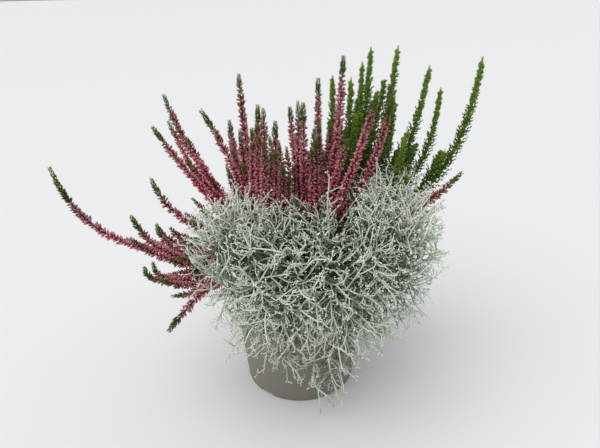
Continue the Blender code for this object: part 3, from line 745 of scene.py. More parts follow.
def spray_curve(row, foot):
    """A spray's line from its hole in the soil to its tip, as in the frame."""
    crown, bearing, reach, rise, lean, lift, _ = row
    turn = math.radians(bearing)
    base = np.array([foot[0], foot[1], SOIL_LEVEL + COLLAR])
    out = reach * np.array([math.cos(turn), math.sin(turn)])
    tip = np.array([CROWNS[crown][0] + out[0], CROWNS[crown][1] + out[1], SOIL_LEVEL + rise])
    run = tip - base
    first = base + np.array([FIRST_LEAN * run[0], FIRST_LEAN * run[1], max(FIRST_RISE, run[2] / 3.0)])
    second = base + np.array([lean * run[0], lean * run[1], lift])
    root = base - (0.0, 0.0, HOLE_DEPTH + COLLAR - CLEARANCE)
    return Curve(np.vstack([root, bezier(base, first, second, tip, CURVE_POINTS)]))


def around(curve, distances, turns):
    """Centres on a line, and the directions out of it and along it, at distances and turns."""
    centres, sides, ups, aheads = curve.at(distances)
    out = np.cos(turns)[:, None] * sides + np.sin(turns)[:, None] * ups
    return centres, out, aheads


def stem(growth, curve, start, end, thick, thin, finish, corners=6):
    """A woody stem along a stretch of a line, with small knots."""
    count = max(4, round((end - start) / RING_STEP))
    distances = np.linspace(start, end, count)
    share = (distances - start) / (end - start)
    knots = 1.0 + KNOT_SWELL * np.sin(KNOT_TURN * np.arange(count))
    radii = (thick + (thin - thick) * share) * knots
    centres, sides, ups, _ = curve.at(distances)
    growth.tube(centres, sides, ups, radii, corners, share, 0.5, finish)


def leaves(growth, draw, shape, curve, start, end, pitch, size, tilt, stem_radius, finish, taper=0.0):
    """Scale leaves round a stretch of a line, by the golden angle, leaning ahead."""
    count = max(3, round((end - start) / pitch))
    distances = np.linspace(start, end, count)
    share = (distances - start) / (end - start)
    turns = GOLDEN * np.arange(count) + LEAF_TURN_STRAY * draw.normal(size=count)
    centres, out, aheads = around(curve, distances, turns)
    lean = tilt * (1.0 - 0.5 * taper * share) + LEAF_TILT_STRAY * draw.normal(size=count)
    lean = np.radians(lean)[:, None]
    directions = np.cos(lean) * aheads + np.sin(lean) * out
    scale = (1.0 - taper * share**1.5) * (LEAF_SCALE[0] + LEAF_SCALE[1] * draw.random(count))
    sizes = scale[:, None] * np.array(size)
    roots = centres + LEAF_SEAT * stem_radius * out
    growth.scatter(shape, roots, facing(directions, out), sizes, share, draw.random(count), finish)


def fullness(share, foot, head):
    """How full a shoot is along it, less at its foot and head."""
    low = np.minimum(1.0, foot[0] + foot[1] * share)
    return low * np.minimum(1.0, head[0] + head[1] * (1.0 - share))


def raceme(growth, draw, curve, start, end, plump, own_tip):
    """The buds: all round the stem, out and up, smaller towards both ends."""
    count = max(8, round((end - start) / BUD_PITCH))
    distances = np.linspace(start, end, count) + BUD_SHIFT * draw.normal(size=count)
    share = np.linspace(0.0, 1.0, count)
    turns = GOLDEN * np.arange(count) + BUD_TURN_STRAY * draw.normal(size=count)
    centres, out, aheads = around(curve, distances, turns)
    low_lean, drop, stray = BUD_LEAN
    lean = np.radians(low_lean - drop * share + stray * draw.normal(size=count))[:, None]
    directions = np.cos(lean) * aheads + np.sin(lean) * out
    scale = plump * fullness(share, RACEME_FOOT, RACEME_HEAD)
    scale = scale * (BUD_SCALE[0] + BUD_SCALE[1] * draw.random(count))
    sizes = scale[:, None] * np.array(BUD_SIZE)
    roots = centres + BUD_SEAT * STEM_TIP * out + (BUD_LIFT * scale)[:, None] * aheads
    colour_place = share if own_tip else BELOW_TIP * share
    growth.scatter(bud, roots, facing(directions, out), sizes, colour_place, draw.random(count), 0)


def green_tip(growth, draw, curve, start, end, finish, scale=1.0):
    """The growing tip: leaves packed so closely that the stem can't be seen."""
    stem(growth, curve, start, end, STEM_TIP, TIP_STEM * STEM_TIP, finish, 5)
    leaves(growth, draw, leaf, curve, start, end, TIP_LEAF_PITCH, scale * np.array(TIP_LEAF),
           TIP_LEAF_TILT, TIP_RADIUS, finish, TIP_TAPER)


def side_curve(curve, start, length, bearing, spread):
    """A side shoot: it leaves its stem at a slant, then goes along beside it on one side."""
    centres, _, _, aheads = curve.at(np.array([start, min(start + length, curve.length)]))
    level = np.array([math.cos(bearing), math.sin(bearing), 0.0])
    out, goal_out = unit(level - aheads * (aheads @ level)[:, None])
    end = centres[1] + spread * goal_out
    first = centres[0] + SLANT_LENGTH * length * unit(SLANT_AHEAD * aheads[0] + SLANT_OUT * out)
    second = end - CLOSING_LENGTH * length * unit(aheads[1] + CLOSING_OUT * goal_out)
    return Curve(bezier(centres[0], first, second, end, SIDE_POINTS))


def flowering_shoot(growth, draw, curve, bare, tip_length, plump, own_tip):
    """One flowering shoot: stem, lower leaves, raceme with small leaves in it, and its tip."""
    bloom_end = curve.length - tip_length
    stem(growth, curve, 0.0, bloom_end, plump * STEM_RADIUS, STEM_TIP, 1)
    leaves(growth, draw, leaf, curve, LEAFLESS * bare, bare + LEAF_OVERLAP, SMALL_LEAF_PITCH,
           SMALL_LEAF, SMALL_LEAF_TILT, STEM_TIP, 2)
    leaves(growth, draw, leaf, curve, bare, bloom_end, SMALL_LEAF_PITCH,
           SMALL_LEAF, BLOOM_LEAF_TILT, STEM_TIP, 2)
    raceme(growth, draw, curve, bare, bloom_end, plump, own_tip)
    if own_tip:
        green_tip(growth, draw, curve, bloom_end, curve.length, 2, OWN_TIP_SCALE * plump)


def make_bud_finish():
    """Closed buds, from crimson low on the shoot to olive at its top, each with a brown calyx
    and a paler tip."""
    material, tree, shader = new_material("pink_buds_closed", roughness=0.65, specular=0.15)
    place, chance, rise = read_growth(tree)
    stops = ((0.0, CRIMSON), (0.32, ROSE), (0.64, DUSTY_PINK), (0.86, BROWN_BUD), (1.0, OLIVE_BUD))
    along = ramp(tree, place, stops)
    paler = mixed(tree, span(tree, chance, 0.55, 1.0, 0.0, 0.55), along, DUSTY_PINK)
    deeper = mixed(tree, span(tree, chance, 0.0, 0.35, 0.5, 0.0), paler, CRIMSON)
    petal_tip = mixed(tree, span(tree, rise, 0.60, 1.0, 0.0, 0.55), deeper, PALE_PINK)
    calyx = mixed(tree, span(tree, rise, 0.15, 0.50, 0.8, 0.0), petal_tip, CALYX_BROWN)
    mottled_surface(tree, shader, calyx, strength=0.25, distance=0.0002,
                    Patch=300.0, Grain=2600.0, Depth=0.14)
    return material


def make_bark_finish():
    """Rough brown bark, redder on young wood."""
    material, tree, shader = new_material("heather_bark", roughness=0.8, specular=0.3)
    place, _, _ = read_growth(tree)
    colour = mixed(tree, span(tree, place, 0.5, 1.0, 0.0, 0.7), BARK_BROWN, BARK_REDDISH)
    mottled_surface(tree, shader, colour, strength=0.6, distance=0.0005,
                    Patch=220.0, Grain=1500.0, Depth=0.35)
    return material


def make_leaf_finish(name, low, high, light, depth):
    """Scale leaves: dark and old below, light at the growing tip, no two quite the same."""
    material, tree, shader = new_material(name, roughness=0.6, specular=0.18)
    place, chance, rise = read_growth(tree)
    along = ramp(tree, place, ((0.0, low), (0.60, high), (1.0, light)))
    lighter = mixed(tree, span(tree, chance, 0.45, 1.0, 0.0, 0.35), along, light)
    edge = mixed(tree, span(tree, rise, 0.5, 1.0, 0.0, 0.4), lighter, light)
    mottled_surface(tree, shader, edge, strength=0.25, distance=0.0002,
                    Patch=140.0, Grain=2200.0, Depth=depth)
    return material


bud = pod(((0.60, 0.50, 0.50, 0.0),), sides=4)
leaf = pod(((0.42, 0.50, 0.50, 0.0),), sides=4)
bud_finish = make_bud_finish()
bark_finish = make_bark_finish()
young_finish = make_leaf_finish("young_heather_leaves", LEAF_DARK, YOUNG_GREEN, LEAF_LIGHT, 0.2)
all_rows = PINK_SPRAYS + GREEN_SPRAYS
curves = [spray_curve(row, foot) for row, foot in zip(all_rows, spray_feet(all_rows))]
pink_curves, green_curves = curves[:len(PINK_SPRAYS)], curves[len(PINK_SPRAYS):]
pink_draw = np.random.default_rng(PINK_SEED)
for index, (row, curve, sides) in enumerate(zip(PINK_SPRAYS, pink_curves, SIDE_SHOOTS), 1):
    tip_length = row[-1]
    tall = index in TALL_SIDES
    start_range, length_range = (TALL_START, TALL_LENGTH) if tall else (SIDE_START, SIDE_LENGTH)
    growth = Growth()
    bare = BARE_SHARE * curve.length
    flowering_shoot(growth, pink_draw, curve, bare, tip_length or OWN_TIP_LENGTH, 1.0, not tip_length)
    for side in range(sides):
        start = curve.length * pink_draw.uniform(*start_range)
        length = curve.length * pink_draw.uniform(*length_range)
        bearing = GOLDEN * 2.0 * (side + index) + pink_draw.uniform(0.0, SIDE_TURN)
        branch = side_curve(curve, start, length, bearing, pink_draw.uniform(*SIDE_SPREAD))
        side_tip = pink_draw.uniform(*SIDE_TIP_LENGTH)
        flowering_shoot(growth, pink_draw, branch, SIDE_BARE * branch.length, side_tip, SIDE_PLUMP, True)
    finishes = [bud_finish, bark_finish, young_finish]
    growth.piece(f"pink_shoot_{index:02d}", finishes, [f"pink_spray_{index:02d}"])
    if tip_length:
        tip = Growth()
        green_tip(tip, pink_draw, curve, curve.length - tip_length, curve.length, 0)
        tip.piece(f"pink_shoot_tip_{index:02d}", [young_finish], [f"pink_tip_{index:02d}"])

# Green foliage heather. The same kind of shoot without flowers: a woody stem wholly covered by
# short branchlets, each clad in scale leaves in four rows, dark below and bright at the tip.
GREEN_SEED = 13
GREEN_BARE = 0.17
BRANCHLET_PITCH = 0.00110
BRANCHLET_LENGTH = 0.0126
BRANCHLET_SCALE = (0.72, 0.50)
BRANCHLET_LEAN = 38.0
BRANCHLET_LEAN_STRAY = 6.0
BRANCHLET_TURN_STRAY = 0.25
BRANCHLET_FOOT = (0.85, 1.5)
BRANCHLET_HEAD = (0.20, 1.60)
BRANCHLET_BEND = 0.20
BRANCHLET_LEAVES = 8
LOWEST_LEAF = 0.06
SCALE_LEAF = (0.0023, 0.0017, 0.0034)
SCALE_LEAF_TILT = 34.0
SCALE_LEAF_TAPER = 0.45
SCALE_LEAF_SCALE = (0.80, 0.25)
ROW_SKEW = 0.3
# What a leaf's colour follows: its place up the shoot and out on the branchlet; and its tone, by
# its place on the branchlet, the branchlet's chance and its own.
PLACE_SHARES = (0.80, 0.20)
TONE_SHARES = (0.55, 0.25, 0.20)
CORE_LEAF = (0.0022, 0.0016, 0.0046)
CORE_LEAF_TILT = 32.0
CORE_TAPER = 0.4
CORE_PITCH = 0.0006
GROWING_LEAF = (0.0013, 0.0010, 0.0030)
GROWING_LEAF_TILT = 28.0
GROWING_TAPER = 0.6
GROWING_PITCH = 0.0003
# How far below a shoot's end its wood, its growing leaves, its branchlets, its core leaves and
# the foot of its growing leaves lie.
WOOD_END = 0.003
GROWING_END = 0.001
BRANCHLET_END = 0.007
CORE_END = 0.010
GROWING_START = 0.012
# How many side shoots each green spray has; the crowded ones, by number, have tall ones.
GREEN_SIDES = (5, 3, 4, 4, 3, 3, 4, 3, 1, 2, 2, 2)
TALL_GREENS = range(1, 7)
GREEN_START = (0.20, 0.55)
TALL_GREEN_START = (0.20, 0.40)
GREEN_LENGTH = (0.14, 0.26)
TALL_GREEN_LENGTH = (0.35, 0.58)
GREEN_SPREAD = (0.007, 0.012)
GREEN_SIDE_STEM = 0.0007
GREEN_SIDE_BARE = 0.12
GREEN_SIDE_FULL = 0.74
GREEN_SIDE_FRESH = 0.85
DEEP_GREEN = (0.016, 0.034, 0.005)
FRESH_GREEN = (0.086, 0.165, 0.022)
LIME_TIP = (0.230, 0.350, 0.050)


def branchlets(growth, draw, curve, start, end, full, fresh):
    """Short leafy branchlets round a stem; every leaf of them is placed at once."""
    count = round((end - start) / BRANCHLET_PITCH)
    share = np.linspace(0.0, 1.0, count)
    turns = GOLDEN * np.arange(count) + BRANCHLET_TURN_STRAY * draw.normal(size=count)
    centres, out, aheads = around(curve, start + share * (end - start), turns)
    lean = np.radians(BRANCHLET_LEAN + BRANCHLET_LEAN_STRAY * draw.normal(size=count))[:, None]
    first = np.cos(lean) * aheads + np.sin(lean) * out
    length = full * BRANCHLET_LENGTH * fullness(share, BRANCHLET_FOOT, BRANCHLET_HEAD)
    length = length * (BRANCHLET_SCALE[0] + BRANCHLET_SCALE[1] * draw.random(count))
    chance = draw.random(count)
    t = np.linspace(LOWEST_LEAF, 1.0, BRANCHLET_LEAVES)
    reach = length[:, None, None] * t[None, :, None]
    bend = BRANCHLET_BEND * t[None, :, None]
    roots = centres[:, None] + reach * (first[:, None] * (1.0 - bend) + aheads[:, None] * bend)
    along = unit(first[:, None] * (1.0 - 2.0 * bend) + aheads[:, None] * 2.0 * bend)
    across = unit(np.cross(along, out[:, None] + ROW_SKEW * aheads[:, None]))
    over = np.cross(along, across)
    order = np.arange(BRANCHLET_LEAVES)
    row_turn = 0.5 * math.pi * order + 0.25 * math.pi * (order // 4)
    leaf_out = np.cos(row_turn)[None, :, None] * across + np.sin(row_turn)[None, :, None] * over
    tilt = math.radians(SCALE_LEAF_TILT)
    directions = math.cos(tilt) * along + math.sin(tilt) * leaf_out
    scale = SCALE_LEAF_SCALE[0] + SCALE_LEAF_SCALE[1] * draw.random((count, BRANCHLET_LEAVES))
    taper = (1.0 - SCALE_LEAF_TAPER * t**2)[None, :] * scale
    sizes = (taper[:, :, None] * np.array(SCALE_LEAF)).reshape(-1, 3)
    up, outward = PLACE_SHARES
    place = fresh * (up * share[:, None] + outward * t[None, :])
    rise, shared, own = TONE_SHARES
    tone = rise * t[None, :] + shared * chance[:, None] + own * draw.random((count, BRANCHLET_LEAVES))
    frames = facing(directions.reshape(-1, 3), leaf_out.reshape(-1, 3))
    growth.scatter(leaf, roots.reshape(-1, 3), frames, sizes, place.ravel(), tone.ravel(), 0)


deep_leaf_finish = make_leaf_finish("green_heather_leaves", DEEP_GREEN, FRESH_GREEN, LIME_TIP, 0.22)
lime_leaf_finish = make_leaf_finish("lime_heather_tips", FRESH_GREEN, LIME_TIP, LIME_TIP, 0.15)
green_draw = np.random.default_rng(GREEN_SEED)
for index, (curve, sides) in enumerate(zip(green_curves, GREEN_SIDES), 1):
    growth = Growth()
    start, end = GREEN_BARE * curve.length, curve.length
    stem(growth, curve, 0.0, end - WOOD_END, STEM_RADIUS, STEM_TIP, 1)
    leaves(growth, green_draw, leaf, curve, 0.5 * start, start, SMALL_LEAF_PITCH,
           SMALL_LEAF, SMALL_LEAF_TILT, STEM_TIP, 0)
    branchlets(growth, green_draw, curve, start, end - BRANCHLET_END, 1.0, 1.0)
    leaves(growth, green_draw, leaf, curve, start, end - CORE_END, CORE_PITCH,
           CORE_LEAF, CORE_LEAF_TILT, STEM_TIP, 0, CORE_TAPER)
    tall = index in TALL_GREENS
    for side in range(sides):
        where = end * green_draw.uniform(*(TALL_GREEN_START if tall else GREEN_START))
        length = end * green_draw.uniform(*(TALL_GREEN_LENGTH if tall else GREEN_LENGTH))
        bearing = GOLDEN * 2.0 * side + index
        branch = side_curve(curve, where, length, bearing, green_draw.uniform(*GREEN_SPREAD))
        branch_end = branch.length - WOOD_END
        stem(growth, branch, 0.0, branch_end, GREEN_SIDE_STEM, STEM_TIP, 1)
        branchlets(growth, green_draw, branch, GREEN_SIDE_BARE * branch.length, branch_end,
                   GREEN_SIDE_FULL, GREEN_SIDE_FRESH)
    leaves(growth, green_draw, leaf, curve, end - GROWING_START, end - GROWING_END, GROWING_PITCH,
           GROWING_LEAF, GROWING_LEAF_TILT, STEM_TIP, 2, GROWING_TAPER)
    finishes = [deep_leaf_finish, bark_finish, lime_leaf_finish]
    growth.piece(f"green_shoot_{index:02d}", finishes, [f"green_spray_{index:02d}"])

# Silver cushion bush. Six woody branches that fork again and again at wide angles into wiry,
# zigzag twigs, covered in grey-white felt, with short side spurs and knobbly pale buds at the
# ends. It fills the front of the pot and hangs over the rim.
SILVER_SEED = 21
# How far apart the twigs' joints lie, and how much wider that is by depth, by height, behind
# each branch's heart and by place from left to right.
SPACING = 0.0041
DEPTH_PLACES = (0.30, 0.60, 0.85, 1.0)
DEPTH_SPACINGS = (1.9, 1.10, 1.0, 1.15)
LOW_PLACES = (0.050, 0.085, 0.112)
LOW_SPACINGS = (1.35, 1.32, 1.0)
BACK_START = 0.010
BACK_SPACING = 1.25
SIDE_PLACES = (-0.085, -0.050, 0.090, 0.112)
SIDE_SPACINGS = (1.20, 1.0, 1.0, 1.20)
DARTS = 260000
ROUNDNESS = 3.0
RIM_MARGIN = 0.0022
INNER_MARGIN = 3.0 * RIM_MARGIN
BOX_MARGIN = 0.0030
MIDDLE = (0.018, -0.030, 0.130)
HEM_SLACK = 0.015
# How far the bush reaches to the left, to the right and to the front, at heights from its hem up.
EDGE_HEIGHTS = (0.018, 0.045, 0.065, 0.085, 0.104, 0.119, 0.131, 0.145, 0.155, 0.172, 0.190)
LEFT_EDGE = (0.014, 0.000, -0.028, -0.047, -0.057, -0.061, -0.066, -0.076, -0.083, -0.086, -0.076)
RIGHT_EDGE = (0.028, 0.040, 0.048, 0.064, 0.090, 0.098, 0.101, 0.107, 0.112, 0.111, 0.101)
FRONT_EDGE = (-0.076, -0.080, -0.086, -0.095, -0.107, -0.115, -0.119, -0.119, -0.116, -0.107, -0.095)
# How high it stands, at places from left to right.
TOP_PLACES = (-0.085, -0.065, -0.049, -0.033, -0.015, 0.000, 0.017, 0.024,
              0.031, 0.038, 0.046, 0.060, 0.085, 0.105, 0.118)
TOP_EDGE = (0.172, 0.186, 0.193, 0.190, 0.180, 0.175, 0.172, 0.172,
            0.160, 0.163, 0.182, 0.192, 0.190, 0.186, 0.172)
# The lone twigs that rise over the rest, by their tips, and how their joints lie.
LEADERS = ((0.0235, -0.045, 0.203), (0.0620, -0.020, 0.205), (0.0700, -0.012, 0.199), (-0.046, -0.045, 0.197))
LEADER_HEIGHT = 0.040
LEADER_STEP = 0.0042
LEADER_STRAY = 0.0012
LEADER_SIDE = (0.0038, 0.001, 0.001)
LEADER_SPACING = 0.4
TUFT_WAVES = ((310.0, 240.0, 270.0, 0.4), (190.0, 330.0, 210.0, 2.1), (260.0, 170.0, 350.0, 4.4))
TUFT_STRENGTH = 1.4
TUFT_DEPTH = 0.095
# The tone of twigs inside and at the back, as a share of those in front and on top: painted shade in the
# felt's colour.
SHADED = 0.74
# How the joints are joined: steps may be twice as long near a branch's heart.
NEIGHBOURS = 28
LONGEST_STEP = 0.0110
HEART_REACH = 0.02
BEND_COST = 0.80
COST_STRAY = (0.80, 1.30)
CHECKED_SHARES = (0.3, 0.5, 0.7)
MOST_FORKS = 3
STRAIGHTENING = 3
OWN_PULL = 0.4
NEIGHBOUR_PULL = 0.3
TWIG_SIDES = 4
TWIG_RADIUS = 0.00040
TWIG_SWELL = 0.000045
TWIG_UNEVEN = 0.10
TWIG_END = 0.85
THICKEST_TWIG = 0.0010
END_PALER = 0.06
# The free end of a twig: its length, how much it goes ahead, outward and up, and its stray.
PLUME = (0.0015, 0.0055)
PLUME_AHEAD = 0.8
PLUME_OUTWARD = 0.25
PLUME_UP = (0.0, 0.0, 0.25)
PLUME_STRAY = 0.55
FRONT_LIMIT = (-0.0900, -0.1195, 0.0200)
SPUR_SIZE = (0.00072, 0.00066, 0.00400)
SPUR_SCALE = (0.40, 1.25)
SPUR_PITCH = 0.0031
SPUR_START = (0.3, 0.7)
SPUR_TURN = 6.0
SPUR_AHEAD = 0.66
SPUR_OUT = 0.75
KNOB_SIZE = (0.00130, 0.00120, 0.0020)
KNOB_SCALE = (0.70, 1.15)
KNOB_SEAT = 0.0012
KNOB_PALER = 0.2
PRONG_LENGTH = (0.0020, 0.0042)
PRONG_SPREAD = 0.50
PRONG_SEAT = 0.0004
PRONG_LIMIT = -0.1140
BRANCH_RADIUS = (0.0016, 0.0011)
BRANCH_COLLAR = 0.006
BRANCH_ARCH = (0.0, 0.0, 0.004)
# One row a branch: where it stands in the soil, and its heart.
SILVER_BRANCHES = (
    ((-0.026, -0.032), (-0.043, -0.049, 0.129)),
    ((-0.010, -0.038), (-0.010, -0.059, 0.127)),
    ((0.010, -0.040), (0.024, -0.061, 0.127)),
    ((0.028, -0.030), (0.058, -0.043, 0.131)),
    ((0.042, -0.010), (0.082, -0.004, 0.134)),
    ((0.014, -0.022), (0.016, -0.027, 0.142)),
)
# The felt's colours by tone. The two darkest are painted shade for twigs deep inside and at the back, the
# deepest partly older, barer wood too.
FELT_OLD_WOOD_AND_PAINTED_SHADE = (0.016, 0.024, 0.010)
FELT_SHADE = (0.115, 0.155, 0.095)
FELT_PALE = (0.745, 0.835, 0.715)
FELT_CREAM = (0.880, 0.910, 0.800)


def clear_of_pot(points):
    """Whether points are outside the pot, over its rim, or inside it above the soil."""
    across = np.hypot(points[..., 0], points[..., 1])
    outside = across > RIM_RADIUS + RIM_MARGIN
    over_rim = points[..., 2] > RIM_HEIGHT + RIM_MARGIN
    inside = (across < RIM_RADIUS - INNER_MARGIN) & (points[..., 2] > SOIL_LEVEL + RIM_MARGIN)
    return outside | over_rim | inside


def bush_depth(points, heart, low, high):
    """How far out points are between a branch's heart, 0, and its rounded outline, 1."""
    off = points - heart
    reach = np.where(off > 0.0, high - heart, heart - low)
    return np.sum(np.abs(off / reach) ** ROUNDNESS, axis=1) ** (1.0 / ROUNDNESS)


def edge_depth(points):
    """How far out points are between the middle of the bush and its outline as a whole."""
    x, y, z = points.T
    right = (x - MIDDLE[0]) / (np.interp(z, EDGE_HEIGHTS, RIGHT_EDGE) - MIDDLE[0])
    left = (x - MIDDLE[0]) / (np.interp(z, EDGE_HEIGHTS, LEFT_EDGE) - MIDDLE[0])
    front = (y - MIDDLE[1]) / (np.interp(z, EDGE_HEIGHTS, FRONT_EDGE) - MIDDLE[1])
    top = (z - MIDDLE[2]) / (np.interp(x, TOP_PLACES, TOP_EDGE) - MIDDLE[2])
    return np.max([right, left, front, top], axis=0)


def exposure(points):
    """How much light twigs get: less inside and behind, full in front and on top."""
    _, y, z = points.T
    front = (y - MIDDLE[1]) / (np.interp(z, EDGE_HEIGHTS, FRONT_EDGE) - MIDDLE[1])
    top = (z - MIDDLE[2]) / (max(TOP_EDGE) - MIDDLE[2])
    return SHADED + (1.0 - SHADED) * np.clip(np.maximum(front, top), 0.0, 1.0)


def tufts(points):
    """Where the twigs crowd together, up to 1, and where they leave hollows, down to -1."""
    x, y, z = points.T
    waves = [np.sin(a * x + t) * np.sin(b * y + 2 * t) * np.sin(c * z + 3 * t) for a, b, c, t in TUFT_WAVES]
    return np.clip(TUFT_STRENGTH * np.sum(waves, axis=0), -1.0, 1.0)


def leader_points(draw):
    """The joints of the lone twigs, down from their tips, with a few beside them."""
    made = []
    for tip in np.array(LEADERS):
        drop = np.arange(0.0, LEADER_HEIGHT, LEADER_STEP)[:, None] * (0.0, 0.0, 1.0)
        spine = tip - drop + LEADER_STRAY * draw.normal(size=drop.shape)
        way = draw.choice((-1.0, 1.0), size=(len(drop) - 2, 1))
        made += [spine, spine[2:] + way * LEADER_SIDE]
    return np.vstack(made)


def place_tree(points):
    """The points in a tree that finds near ones."""
    tree = KDTree(len(points))
    for index, point in enumerate(points):
        tree.insert(point, index)
    tree.balance()
    return tree


def bush_points(draw, shapes):
    """Points that fill the bush at even spacing, wider inside, low down and at the back. Gives the
    points, the branch each belongs to, and a tone from each one's depth and light, painted into the felt as
    shade."""
    low = np.min([shape[1] for shape in shapes], axis=0)
    high = np.max([shape[2] for shape in shapes], axis=0)
    darts = low + (high - low) * draw.random((DARTS, 3))
    leaders = leader_points(draw)
    depths = np.stack([bush_depth(darts, *shape) for shape in shapes])
    owners = np.argmin(depths, axis=0)
    nearest = np.maximum(np.min(depths, axis=0), edge_depth(darts)) + TUFT_DEPTH * (1.0 - tufts(darts))
    good = (nearest < 1.0) & clear_of_pot(darts)
    darts, owners, nearest = darts[good], owners[good], nearest[good]
    hearts = np.array([shape[0] for shape in shapes])
    behind = darts[:, 1] > hearts[owners, 1] + BACK_START
    spacing = SPACING * np.interp(nearest, DEPTH_PLACES, DEPTH_SPACINGS)
    spacing = spacing * np.interp(darts[:, 2], LOW_PLACES, LOW_SPACINGS)
    spacing = spacing * np.where(behind, BACK_SPACING, 1.0)
    spacing = spacing * np.interp(darts[:, 0], SIDE_PLACES, SIDE_SPACINGS)
    closest = np.linalg.norm(leaders[:, None] - hearts[None], axis=2)
    darts, nearest = np.vstack([leaders, darts]), np.append(np.ones(len(leaders)), nearest)
    owners = np.append(np.argmin(closest, axis=1), owners)
    spacing = np.append(np.full(len(leaders), LEADER_SPACING * SPACING), spacing)
    tree = place_tree(darts)
    free = np.ones(len(darts), bool)
    kept = []
    for index in range(len(darts)):
        if free[index]:
            kept.append(index)
            for _, near, _ in tree.find_range(darts[index], spacing[index]):
                free[near] = False
    # The tone is depth times light, painted into the felt's colour as shade inside and behind.
    return darts[kept], owners[kept], nearest[kept] * exposure(darts[kept])


def joined(points, heart, draw):
    """Joins each point to a nearer-in one, so that the twigs bend little and miss the pot.
    Gives the parent of each point, in order from the heart outward."""
    away = np.linalg.norm(points - heart, axis=1)
    longest = np.where(away < HEART_REACH, 2.0, 1.0) * LONGEST_STEP
    order = np.argsort(away)
    tree = place_tree(points)
    parents = {int(order[0]): None}
    ahead = {int(order[0]): np.array([0.0, 0.0, 1.0])}
    forks = {int(order[0]): -MOST_FORKS}
    for index in map(int, order[1:]):
        best, least = None, None
        for _, near, distance in tree.find_n(points[index], NEIGHBOURS):
            if near not in parents or distance > longest[index] or forks[near] >= MOST_FORKS:
                continue
            run = (points[index] - points[near]) / distance
            bend = BEND_COST * (1.0 - float(run @ ahead[near]))
            cost = distance * (1.0 + bend) * draw.uniform(*COST_STRAY)
            between = points[near] + np.outer(CHECKED_SHARES, points[index] - points[near])
            if (least is None or cost < least) and clear_of_pot(between).all():
                best, least, best_run = near, cost, run
        if best is not None:
            parents[index] = best
            forks[best] += 1
            forks[index] = 0
            ahead[index] = best_run
    return parents


def twig_chains(parents):
    """The joined points as chains, each a twig from where it forks off to its end, and how many
    points each of them carries."""
    order = list(parents)
    weight = dict.fromkeys(order, 1)
    children = {index: [] for index in order}
    for index in reversed(order):
        parent = parents[index]
        if parent is not None:
            weight[parent] += weight[index]
            children[parent].append(index)
    starts = [(None, order[0])]
    chains = []
    while starts:
        root, index = starts.pop()
        chain = [index] if root is None else [root, index]
        while children[index]:
            heavy = max(children[index], key=lambda child: weight[child])
            starts += [(index, child) for child in children[index] if child != heavy]
            chain.append(heavy)
            index = heavy
        chains.append(chain)
    return chains, weight


def end_prongs(growth, draw, end, ahead, shade):
    """The fork of short prongs at a twig's end, each with a knobbly bud on it."""
    prongs = draw.integers(2, 4)
    directions = unit(ahead + PRONG_SPREAD * draw.normal(size=(prongs, 3)))
    if end[1] < PRONG_LIMIT:
        directions[:, 1] = np.abs(directions[:, 1])
    outward = np.cross(directions, draw.normal(size=(prongs, 3)))
    frames = facing(directions, outward)
    lengths = draw.uniform(*PRONG_LENGTH, size=prongs)
    sizes = np.tile(SPUR_SIZE, (prongs, 1))
    sizes[:, 2] = lengths
    chances = draw.random(prongs)
    growth.scatter(spur, end - PRONG_SEAT * directions, frames, sizes, np.full(prongs, shade), chances, 0)
    tips = end + (lengths - KNOB_SEAT)[:, None] * directions
    sizes = np.tile(KNOB_SIZE, (prongs, 1)) * draw.uniform(*KNOB_SCALE, size=(prongs, 1))
    growth.scatter(knob, tips, frames, sizes, np.full(prongs, KNOB_PALER + shade), chances, 0)


def felt_twigs(growth, draw, points, depths, heart):
    """Tubes, short side spurs and end buds for all twigs of a branch."""
    chains, weight = twig_chains(joined(points, heart, draw))
    points = points.copy()
    for chain in chains:
        for _ in range(STRAIGHTENING):
            line = points[chain]
            line[1:-1] = OWN_PULL * line[1:-1] + NEIGHBOUR_PULL * (line[:-2] + line[2:])
            points[chain] = np.where(clear_of_pot(line)[:, None], line, points[chain])
        # shade carries each point's tone, with the painted shade of its depth and light.
        line, shade = points[chain], depths[chain]
        run = PLUME_AHEAD * unit(line[-1] - line[-2]) + PLUME_OUTWARD * unit(line[-1] - heart) + PLUME_UP
        run = unit(run + PLUME_STRAY * draw.normal(size=3))
        end = line[-1] + draw.uniform(*PLUME) * run
        curve = Curve(np.vstack([line, np.maximum(end, FRONT_LIMIT)]))
        carried = [min(weight[chain[1]], weight[index]) for index in chain]
        thickness = np.append(TWIG_RADIUS + TWIG_SWELL * np.sqrt(carried), TWIG_END * TWIG_RADIUS)
        thickness = np.minimum(thickness, THICKEST_TWIG)
        shade = np.append(shade, shade[-1] + END_PALER)
        centres, sides, ups, aheads = curve.at(curve.along)
        radii = thickness * (1.0 + TWIG_UNEVEN * draw.normal(size=len(centres)))
        growth.tube(centres, sides, ups, radii, TWIG_SIDES, shade, draw.random(), 0)
        number = max(1, round(curve.length / SPUR_PITCH))
        spots = (np.arange(number) + draw.uniform(*SPUR_START)) * curve.length / number
        turns = GOLDEN * np.arange(number) + draw.uniform(0.0, SPUR_TURN)
        roots, out, ahead = around(curve, spots, turns)
        directions = SPUR_AHEAD * ahead + SPUR_OUT * out
        sizes = np.tile(SPUR_SIZE, (number, 1)) * draw.uniform(*SPUR_SCALE, size=(number, 1))
        place = np.interp(spots, curve.along, shade)
        growth.scatter(spur, roots, facing(directions, out), sizes, place, draw.random(number), 0)
        end_prongs(growth, draw, centres[-1], aheads[-1], shade[-1])


def branch_stem(foot, centre):
    """The woody stem that carries a silver branch, from its hole in the soil to its heart."""
    base = np.array([foot[0], foot[1], SOIL_LEVEL - HOLE_DEPTH])
    bend = np.array([foot[0], foot[1], SOIL_LEVEL + BRANCH_COLLAR])
    middle = 0.5 * (bend + np.array(centre)) + BRANCH_ARCH
    return Curve([base, bend, middle, np.array(centre)])


